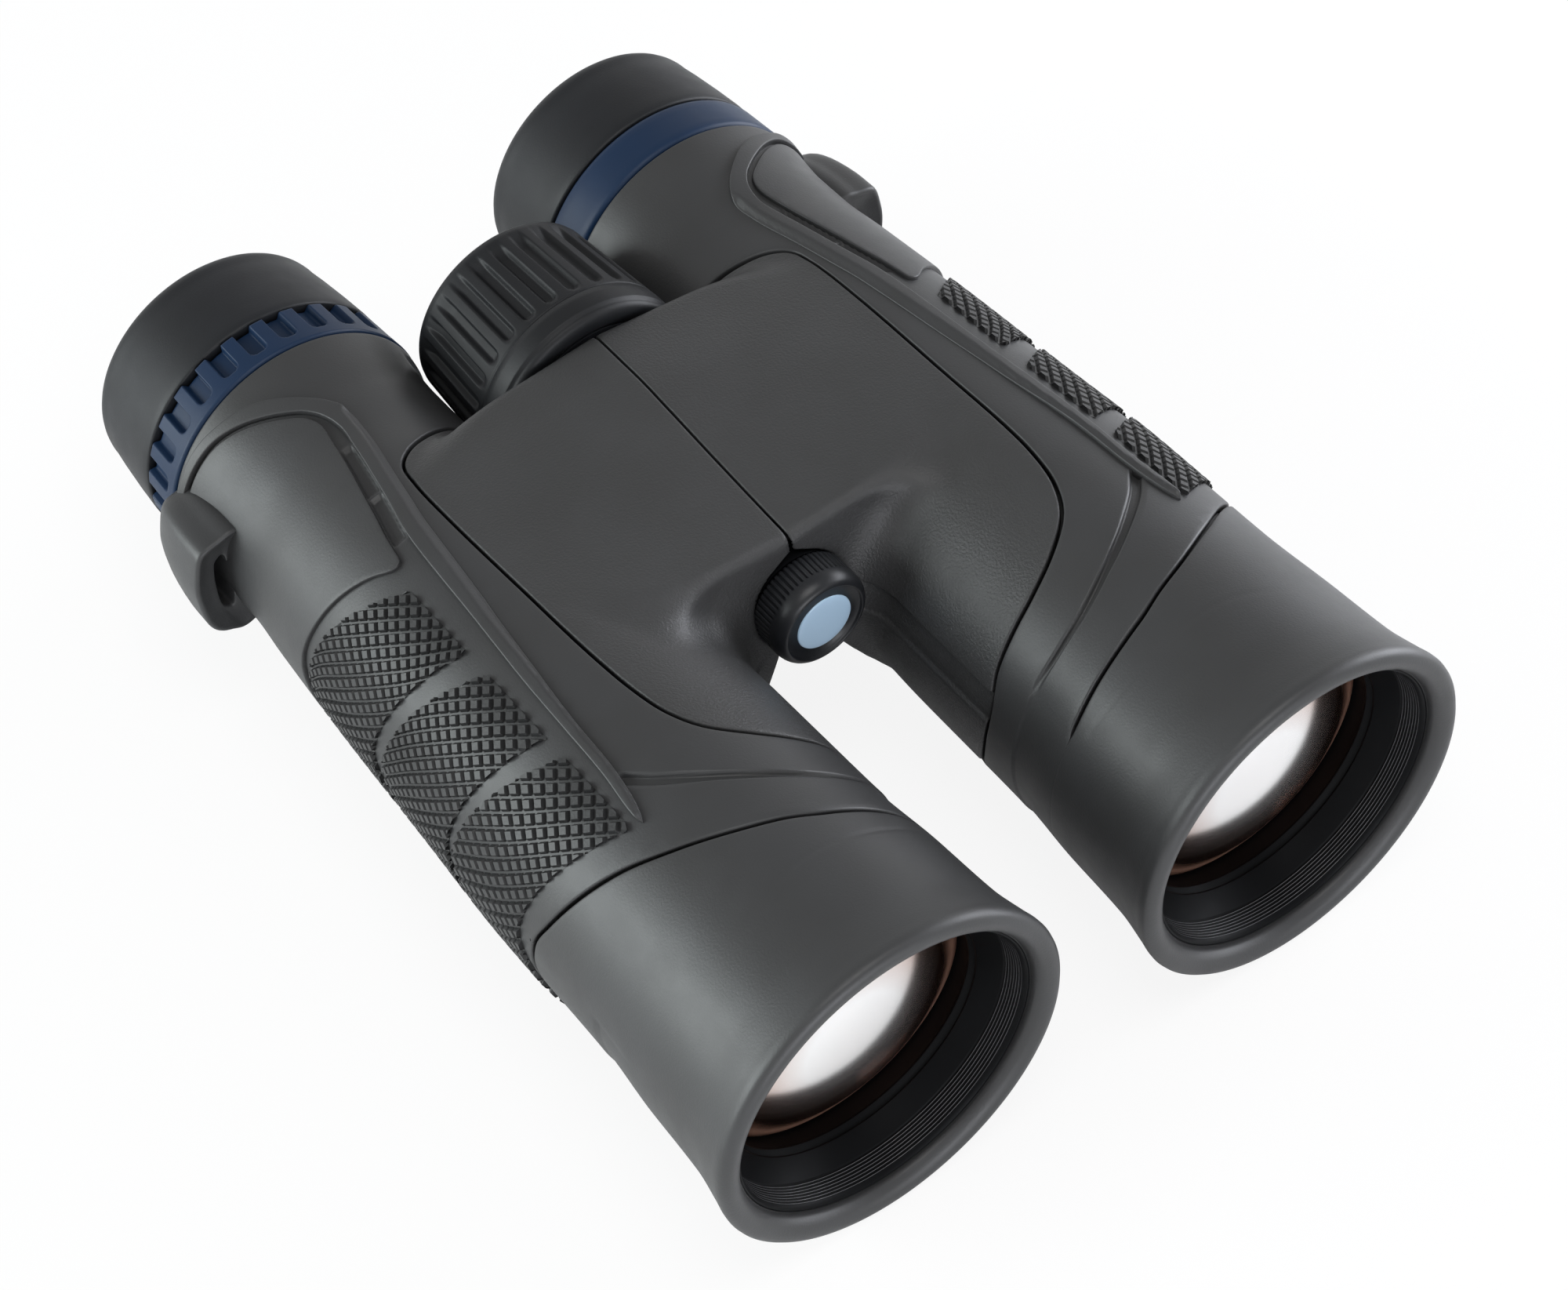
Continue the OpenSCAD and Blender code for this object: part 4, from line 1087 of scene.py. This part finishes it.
def strap_lug():
    """A hooded lug. Its hollow front face has the mouth of the slot, which runs right through."""
    outer = closed_curve(LUG_SECTION, LUG_STEPS)
    slot = closed_curve(SLOT_SECTION, LUG_STEPS)
    slot_middle = slot.mean(axis=0)
    rings = []

    def ring(section, t, about=LUG_MIDDLE, size=1.0):
        p = about + (section - about) * size
        rings.append(np.stack([np.full(LUG_STEPS, LUG_T + t), -p[:, 0], p[:, 1]], axis=-1))

    for t in (14.2, 9.0, 4.0, 2.2):
        ring(slot, t, slot_middle)
    for turn in np.linspace(0, math.pi / 2, 4):
        lip_t = LUG_HOLLOW + SLOT_LIP * (1 - math.sin(turn))
        ring(slot, lip_t, slot_middle, 1 + SLOT_FLARE * (1 - math.cos(turn)))
    start = slot_middle + (slot - slot_middle) * (1 + SLOT_FLARE)
    rim = LUG_MIDDLE + (outer - LUG_MIDDLE) * (1 - LUG_EDGE)
    for share in (0.25, 0.5, 0.75, 0.92):
        ring(start + (rim - start) * share, LUG_HOLLOW * (1 - share**1.6))
    for turn in np.linspace(0, math.pi / 2, 5):
        ring(outer, LUG_EDGE_LENGTH * (1 - math.cos(turn)), size=1 - LUG_EDGE * (1 - math.sin(turn)))
    hood = smooth_line([(0, 1.0), (4, 0.995), (9, 0.955), (12.5, 0.89), (14.6, 0.80), (LUG_LENGTH, 0.70)])
    for t in (2, 3.5, 5, 7, 9, 10.5, 12, 13.2, 14.1, 14.7, 15.1):
        ring(outer, t, size=float(hood(t)))
    return np.concatenate(rings), ring_faces(len(rings), LUG_STEPS)


# ---------------------------------------------------------------- turned pieces


def turned(profile, count, relief=None):
    """A ring turned in count steps from a closed profile of (station, radius) places that runs
    backwards along its outside and forwards along its inside. relief(t, r, angle) is taken off
    the radius."""
    profile = np.array(profile, float)
    t, angle = grid(profile[:, 0], np.linspace(0, 360, count, endpoint=False))
    r = np.repeat(profile[:, 1:], count, axis=1)
    if relief:
        r = r - relief(t, r, angle)
    points = spun(t, r, angle).reshape(-1, 3)
    faces = ring_faces(len(profile), count)
    if profile[:, 1].min() < TINY:
        kept, faces = weld(points, faces)
        points = points[kept]
    return points, faces


def dense(profile, step):
    """The profile with places added so that none of its sides is longer than step."""
    profile = np.array(profile, float)
    line = []
    for a, b in zip(profile, np.roll(profile, -1, axis=0)):
        count = max(math.ceil(np.linalg.norm(b - a) / step), 1)
        line += [a + (b - a) * k / count for k in range(count)]
    return line


def outset(t, r, steps):
    """Profile places from (back, drop) steps: how far behind t, and how far inside r they are."""
    return [(t + back, r - drop) for back, drop in steps]


def rounded_end(end, r, length, drop, turns):
    """Profile places on the elliptic edge of this length and drop at a piece's rear end."""
    return [(end - length + length * math.sin(v), r - drop + drop * math.cos(v)) for v in turns]


def turned_piece(name, node, shape, slot, body, look=None):
    """A turned shape about the axis of the CAD node that it stands for."""
    points, faces = shape
    x, z = centre(node, 0), centre(node, 2)
    placed = np.stack([points[:, 1] + x, points[:, 0] + FRONT_Y, points[:, 2] + z], axis=-1) * MM
    return mesh_piece(name, placed, faces, body, slot, [node], look)


def trim_sides(piece, sides, count, material):
    """Gives some sides of the profile of a piece turned in count steps another material."""
    piece.data.materials.append(material)
    for side in sides:
        for face in range(side * count, (side + 1) * count):
            piece.data.polygons[face].material_index = 1


def mark_reach(piece, r):
    """Stores how far each point of a turned piece is from its axis, as a share of the radius."""
    places = np.array([v.co for v in piece.data.vertices]) / MM
    middle = (places.min(axis=0) + places.max(axis=0)) / 2
    share = np.hypot(places[:, 0] - middle[0], places[:, 2] - middle[2]) / r
    piece.data.attributes.new("reach", "FLOAT", "POINT").data.foreach_set("value", share)


def notch_gap(t, r, angle, count, half_width, corner, front_t):
    """Distance to the nearest of count notches round a turned piece, below zero inside it. A
    notch is open to the rear, and its front has two corners of this radius."""
    pitch = 360 / count
    across = np.abs((angle / pitch - np.round(angle / pitch)) * math.radians(pitch)) * r
    side = across - half_width + corner
    front = front_t + corner - t
    beyond = np.hypot(np.maximum(side, 0), np.maximum(front, 0))
    return beyond + np.minimum(np.maximum(side, front), 0) - corner


RING_T, RING_END, RING_R = sizes("diopter_ring")
RING_BORE = MOUTH_R - 8.0
RING_POCKETS = 26
POCKET_DEPTH = 1.35
POCKET_T = RING_T + 2.2


def ring_pocket(t, r, angle):
    """The grip pockets of the diopter ring: round in front, and open towards the eyecup."""
    gap = notch_gap(t, r, angle, RING_POCKETS, half_width=1.6, corner=1.1, front_t=POCKET_T)
    outside = step_up(r, RING_R - 2.0, RING_R - 1.6)
    return POCKET_DEPTH * step_up(-gap, 0.0, 0.4) * outside


def diopter_ring():
    rear_r = RING_R - 0.4
    profile = outset(RING_T, RING_R, [(0, 1.0), (0.1, 0.35), (0.5, 0)])
    for t in np.linspace(RING_T + 0.8, RING_END - 0.25, 34):
        profile.append((t, between(t, RING_T, RING_END, RING_R, rear_r)))
    profile += [(RING_END, rear_r - 0.3), (RING_END, rear_r - 1.6)]
    profile += [(RING_END, RING_BORE + 2), (RING_T, RING_BORE + 2)]
    return turned(profile, RING_POCKETS * 40, ring_pocket)


WHEEL_RIBS = 26
WHEEL_BAND_T = WHEEL_T + 6.6  # where the plain band in front of the troughs ends
TROUGH = 0.95


def wheel_relief(t, r, angle):
    """The wide lengthwise troughs of the focus wheel, round in front, that run out at its rear."""
    gap = notch_gap(t, r, angle, WHEEL_RIBS, half_width=1.2, corner=1.0, front_t=WHEEL_BAND_T)
    outside = step_up(r, 14.0, 14.4)
    runs_out = 1 - step_up(t, WHEEL_END - 5.5, WHEEL_END - 1.2)
    return TROUGH * step_up(-gap, -0.15, 0.6) * outside * runs_out


def wheel_grip():
    rear_r = WHEEL_R - 1.5
    steps = [(0, 1.9), (0.1, 1.15), (0.45, 0.62), (0.9, 0.42), (1.35, 0.4), (1.5, 0.05), (1.8, 0)]
    steps += [(4, 0), (5.2, 0.08), (5.35, 0.3), (5.5, 0.1)]
    profile = outset(WHEEL_T, WHEEL_R, steps)
    for t in np.arange(WHEEL_T + 5.8, WHEEL_END - 1.1, 0.5):
        profile.append((t, between(t, WHEEL_T + 4, WHEEL_END, WHEEL_R, rear_r)))
    profile += rounded_end(WHEEL_END, rear_r, 1.0, 1.0, np.linspace(0, math.pi / 2, 5))
    bore = radius("wheel_hub")
    profile += [(WHEEL_END, bore + 0.6), (WHEEL_END - 0.4, bore)]
    profile += [(WHEEL_T + 0.4, bore), (WHEEL_T, bore + 0.5)]
    return turned(profile, WHEEL_RIBS * 28, wheel_relief)


def trim_ring():
    t, end, r = sizes("trim_ring")
    profile = outset(t, r, [(0, 1.2), (0.1, 0.5), (0.5, 0.1), (1.0, 0)])
    profile += outset(end, r, [(-1.0, 0.35), (-0.4, 0.5), (0, 0.9)])
    profile += [(end, RING_BORE + 3), (t, RING_BORE + 3)]
    return turned(dense(profile, 1.2), 240)


CUP_MOUTH_R = 15.2
CUP_BORE = RIM_R - 9.6


def eyecup(side):
    """A soft eyecup: a thin lip in front, a long taper and a rounded rear edge round the opening."""
    t, end, r = sizes(f"{side}_eyecup")
    rear_r = r - 1.3
    steps = [(0, 1.6), (0, 0.35), (0.15, 0.1), (0.45, 0), (1.6, 0.02), (6, 0.35), (11, 0.85)]
    profile = outset(t, r, steps) + [(end - 3.4, rear_r)]
    profile += rounded_end(end, rear_r, 3, 2.6, np.linspace(0.12, math.pi / 2, 8))
    profile += outset(end, CUP_MOUTH_R, [(-0.1, -1.4), (-0.7, -0.3), (-1.6, 0)])
    profile += [(t + 12.4, CUP_MOUTH_R), (t + 12.4, CUP_BORE), (t, CUP_BORE)]
    return turned(dense(profile, 1.5), 240)


KNOB_RIDGES = 56
KNOB_BORE = 4.0
KNOB_SHOULDER = 2.4
DISC_R = radius("cap_inlay") - 0.75
FACE_R = radius("cap_inlay") + 1.2


def knurl(t, r, angle):
    """Fine notches round the rear of the knob."""
    across = np.abs(angle / 360 * KNOB_RIDGES % 1 - 0.5) * 2
    behind = step_up(t, starts("front_cap") + 2.7, starts("front_cap") + 3.2)
    return 0.4 * step_up(across, 0.45, 0.95) * behind * step_up(r, 7.0, 7.4)


def knob():
    """The front knob: a knurled drum, a rounded shoulder, and a sunken black face round the
    inlay."""
    t, end, r = sizes("front_cap")
    floor_t = t + 0.42
    profile = [(floor_t + 0.5, DISC_R), (floor_t, DISC_R), (floor_t, FACE_R - 0.25)]
    profile += outset(t, FACE_R, [(0.3, 0.12), (0.06, 0.05)])
    shoulder_r = FACE_R + 0.1
    for turn in np.linspace(0, math.pi / 2, 8):
        back = KNOB_SHOULDER * (1 - math.cos(turn))
        profile.append((t + back, shoulder_r + (r - shoulder_r) * math.sin(turn)))
    profile += [(t + back, r) for back in (2.7, 2.85, 3.0, 3.2, 4.5)]
    profile += outset(end, r, [(-0.6, 0), (-0.15, 0.25), (0, 0.6)])
    profile += [(end, KNOB_BORE), (floor_t + 0.5, KNOB_BORE)]
    return turned(profile, KNOB_RIDGES * 12, knurl)


def disc():
    """The plain disc set in the knob's sunken face."""
    t, end = starts("cap_inlay"), ends("cap_inlay")
    profile = [(t, 0.0)] + outset(t, DISC_R, [(0, 0.2), (0.06, 0.06), (0.2, 0)])
    return turned(dense(profile + [(end, DISC_R), (end, 0.0)], 1.0), 180)


THREADS = 7
THREAD_PITCH = 0.5
BAFFLE_STEPS = 360
RETAINER_LIP = 0.8  # how far the lens's retaining ring reaches in over the glass


def baffle(side):
    """The blackened ring in front of the lens: fine threads, then a smooth cone. The numbers of
    the profile's sides that are the threads' crests come with it."""
    t, end, r = sizes(f"{side}_baffle_ring")
    clear = radius(f"{side}_lens_retainer") - RETAINER_LIP
    first = t + 0.9
    last = first + THREADS * THREAD_PITCH
    profile = [(t + 0.05, r - 0.02), (end, r - 0.02), (end, clear + 0.25), (end - 0.25, clear + 0.3)]
    profile += [(last + 0.15, r - 1.2), (last, r - 1.15)]
    crests = []
    for k in reversed(range(THREADS)):
        start = first + k * THREAD_PITCH
        crest_r = r - 0.7 - 0.06 * k
        profile += outset(start, crest_r, [(0.42, -0.3), (0.16, -0.3), (0.1, 0), (0, 0)])
        crests.append(len(profile) - 2)
    profile += outset(t, r, [(0.75, 0.45), (0.05, 0.4)])
    return turned(profile, BAFFLE_STEPS), crests


def retainer(side):
    """The thin ring that holds the lens, with two fine steps."""
    t, end, r = sizes(f"{side}_lens_retainer")
    clear = r - RETAINER_LIP
    profile = [(t + 0.02, r - 0.02), (end, r - 0.02)]
    profile += outset(end, clear, [(0, 0), (-0.35, 0), (-0.4, -0.18), (-0.75, -0.18), (-0.8, -0.36)])
    profile += outset(t, clear, [(0.1, -0.36), (0.02, -0.5)])
    return turned(profile, 300)


FRONT_CURVE = 44.0  # radii of the front glass's two faces
REAR_CURVE = 70.0
GLASS_EDGE = 0.5  # least thickness of its rim


def sag(curve, v):
    """How far a round face has fallen back at the distance v from its middle."""
    return curve - math.sqrt(curve * curve - v * v)


def front_lens(side):
    """The front glass of an objective, round on both faces."""
    t, end, r = sizes(f"{side}_crown_lens")
    reach = np.linspace(0, r, 26)
    rim_t = t + sag(FRONT_CURVE, r)
    front = [(t + sag(FRONT_CURVE, v), v) for v in reach]
    rear = [(end - sag(REAR_CURVE, v), v) for v in reach[::-1]]
    return turned(front + [spot for spot in rear if spot[0] > rim_t + GLASS_EDGE], 180)


# ---------------------------------------------------------------- the pieces

both_sides("armour_front", bell_cover(), "skin_rubber", node="bell_cover")
both_sides("armour_body", body_skin(), "skin_rubber", node="body_skin")
both_sides("armour_bridge", bridge_plate(), "plate_rubber", node="bridge_plate")
for number, arcs in enumerate(PADS, 1):
    both_sides(f"grip_pad_{number}", pad(arcs), "skin_rubber", look=pad_rubber, smooth=False)
both_sides("ridge_upper", ridge(True), "skin_rubber")
both_sides("ridge_lower", ridge(False), "skin_rubber")
both_sides("rear_panel", panel(), "skin_rubber")
both_sides("strap_lug", strap_lug(), "skin_rubber")
turned_piece("diopter_grip", "diopter_ring", diopter_ring(), "blue_plastic", "diopter_ring")
turned_piece("trim_band", "trim_ring", trim_ring(), "blue_plastic", "left_barrel")
turned_piece("wheel_rubber", "wheel_grip", wheel_grip(), "wheel_rubber", "focus_wheel")
turned_piece("front_knob", "front_cap", knob(), "black_plastic", "front_cap")
turned_piece("knob_disc", "cap_inlay", disc(), "inlay", "front_cap")
for side in SIDES:
    barrel = f"{side}_barrel"
    shape, crests = baffle(side)
    ring = turned_piece(f"{side}_baffle", f"{side}_baffle_ring", shape, "black_anodised", barrel)
    # The thread crests get the lighter grey of a painted highlight.
    trim_sides(ring, crests, BAFFLE_STEPS, painted_crest_highlight)
    turned_piece(f"{side}_lens_ring", f"{side}_lens_retainer", retainer(side), "black_anodised", barrel)
    crown = f"{side}_crown_lens"
    lens = turned_piece(f"{side}_front_lens", crown, front_lens(side), "coated_glass", barrel, front_glass)
    mark_reach(lens, radius(crown))
    cup = f"{side}_eyecup"
    turned_piece(f"{side}_cup", cup, eyecup(side), "eyecup_rubber", cup)


def dress_frame():
    """Gives every CAD node the look of its slot."""
    for part in frame["record"]["subparts"]:
        node = frame["nodes"].get(part["node"])
        if node is None:
            continue
        for slot in node.material_slots:
            slot.material = SLOT_LOOKS[part["material_slot"]]


dress_frame()


# ---------------------------------------------------------------- floor, light and camera

FLOOR_REACH = 3.0  # metres from the frame's origin to the floor's edges
FLOOR_WHITE = 0.88  # share of plain white in what the camera sees of the floor
REFLECTED_WHITE = 0.0176  # and in what it sees of it in reflections and through glass


def floor():
    """A white floor that keeps the object's soft shadow. The camera sees it as almost plain white,
    and reflections see it nearly as it is lit."""
    low, high = -FLOOR_REACH, FLOOR_REACH
    mesh = bpy.data.meshes.new("floor")
    corners = [(low, low, 0), (high, low, 0), (high, high, 0), (low, high, 0)]
    mesh.from_pydata(corners, [], [[0, 1, 2, 3]])
    plane = bpy.data.objects.new("floor", mesh)
    material, tree, shader = new_surface("floor", Roughness=0.7)
    tree.links.new(mixed(tree, noise(tree, 60.0), grey(0.88), grey(0.9)), shader.inputs["Base Color"])
    glow = add_node(tree, "ShaderNodeEmission", Color=(1, 1, 1, 1), Strength=1.0)
    path = tree.nodes.new("ShaderNodeLightPath").outputs
    reflected = larger(tree, path["Is Glossy Ray"], path["Is Transmission Ray"])
    reflected_share = ranged(tree, reflected, 0.0, REFLECTED_WHITE, 0.0, 1.0)
    camera_share = ranged(tree, path["Is Camera Ray"], 0.0, FLOOR_WHITE, 0.0, 1.0)
    blend = tree.nodes.new("ShaderNodeMixShader")
    tree.links.new(larger(tree, camera_share, reflected_share), blend.inputs[0])
    tree.links.new(shader.outputs["BSDF"], blend.inputs[1])
    tree.links.new(glow.outputs["Emission"], blend.inputs[2])
    tree.links.new(blend.outputs["Shader"], tree.nodes["Material Output"].inputs["Surface"])
    mesh.materials.append(material)
    bpy.context.scene.collection.objects.link(plane)


def direction(azimuth, elevation):
    """The direction from the object to a place at this azimuth and elevation, in degrees."""
    a, e = math.radians(azimuth), math.radians(elevation)
    return Vector((math.sin(a) * math.cos(e), -math.cos(a) * math.cos(e), math.sin(e)))


def softbox(name, azimuth, elevation, distance, size, power, colour):
    """A square lamp aimed at the frame's origin, on the floor under the object. Its distance and
    size are in metres."""
    lamp = bpy.data.lights.new(name, "AREA")
    lamp.size = size
    lamp.energy = power
    lamp.color = colour
    holder = bpy.data.objects.new(name, lamp)
    back = direction(azimuth, elevation)
    holder.location = back * distance
    holder.rotation_mode = "QUATERNION"
    holder.rotation_quaternion = (-back).to_track_quat("-Z", "Y")
    bpy.context.scene.collection.objects.link(holder)


CAMERA_AZIMUTH, CAMERA_ELEVATION, CAMERA_ROLL = -35.12, 49.47, -2.45
CAMERA_AIM = (-1.8, -15.85, 29.5)
CAMERA_DISTANCE = 637
CAMERA_LENS = 98.66


def camera():
    """The photograph's point of view."""
    roll = math.radians(CAMERA_ROLL)
    back = direction(CAMERA_AZIMUTH, CAMERA_ELEVATION)
    right = direction(CAMERA_AZIMUTH + 90, 0)
    up = back.cross(right)
    turned_right = right * math.cos(roll) + up * math.sin(roll)
    turned_up = up * math.cos(roll) - right * math.sin(roll)
    data = bpy.data.cameras.new("camera")
    data.lens = CAMERA_LENS
    holder = bpy.data.objects.new("camera", data)
    pose = Matrix((turned_right, turned_up, back)).transposed().to_4x4()
    pose.translation = Vector(CAMERA_AIM) * MM + back * CAMERA_DISTANCE * MM
    holder.matrix_world = pose
    bpy.context.scene.collection.objects.link(holder)
    bpy.context.scene.camera = holder


def world():
    """A white tent that is bright near the floor and dim overhead, and white to the camera."""
    sky = bpy.data.worlds.new("studio")
    sky.use_nodes = True
    tree = sky.node_tree
    background = tree.nodes["Background"]
    background.inputs["Color"].default_value = (1, 1, 1, 1)
    way = add_node(tree, "ShaderNodeTexCoord").outputs["Generated"]
    height = add_node(tree, "ShaderNodeSeparateXYZ", Vector=way).outputs["Z"]
    path = tree.nodes.new("ShaderNodeLightPath").outputs
    strength = larger(tree, ranged(tree, height, 1.0, 0.3, 0.1, 0.75), path["Is Camera Ray"])
    tree.links.new(strength, background.inputs["Strength"])
    bpy.context.scene.world = sky


floor()
world()
softbox("left_box", -114, 10, distance=0.8, size=0.6, power=8, colour=(0.92, 1.0, 1.0))
softbox("right_box", 84, 12, distance=0.8, size=0.6, power=8, colour=(0.90, 0.93, 1.0))
softbox("front_box", -10, 6, distance=0.8, size=0.5, power=4, colour=(0.92, 0.94, 1.0))
softbox("top_box", -20, 75, distance=1.0, size=0.5, power=3, colour=(1.0, 0.99, 0.98))
camera()
bpy.context.scene.view_settings.view_transform = "Standard"
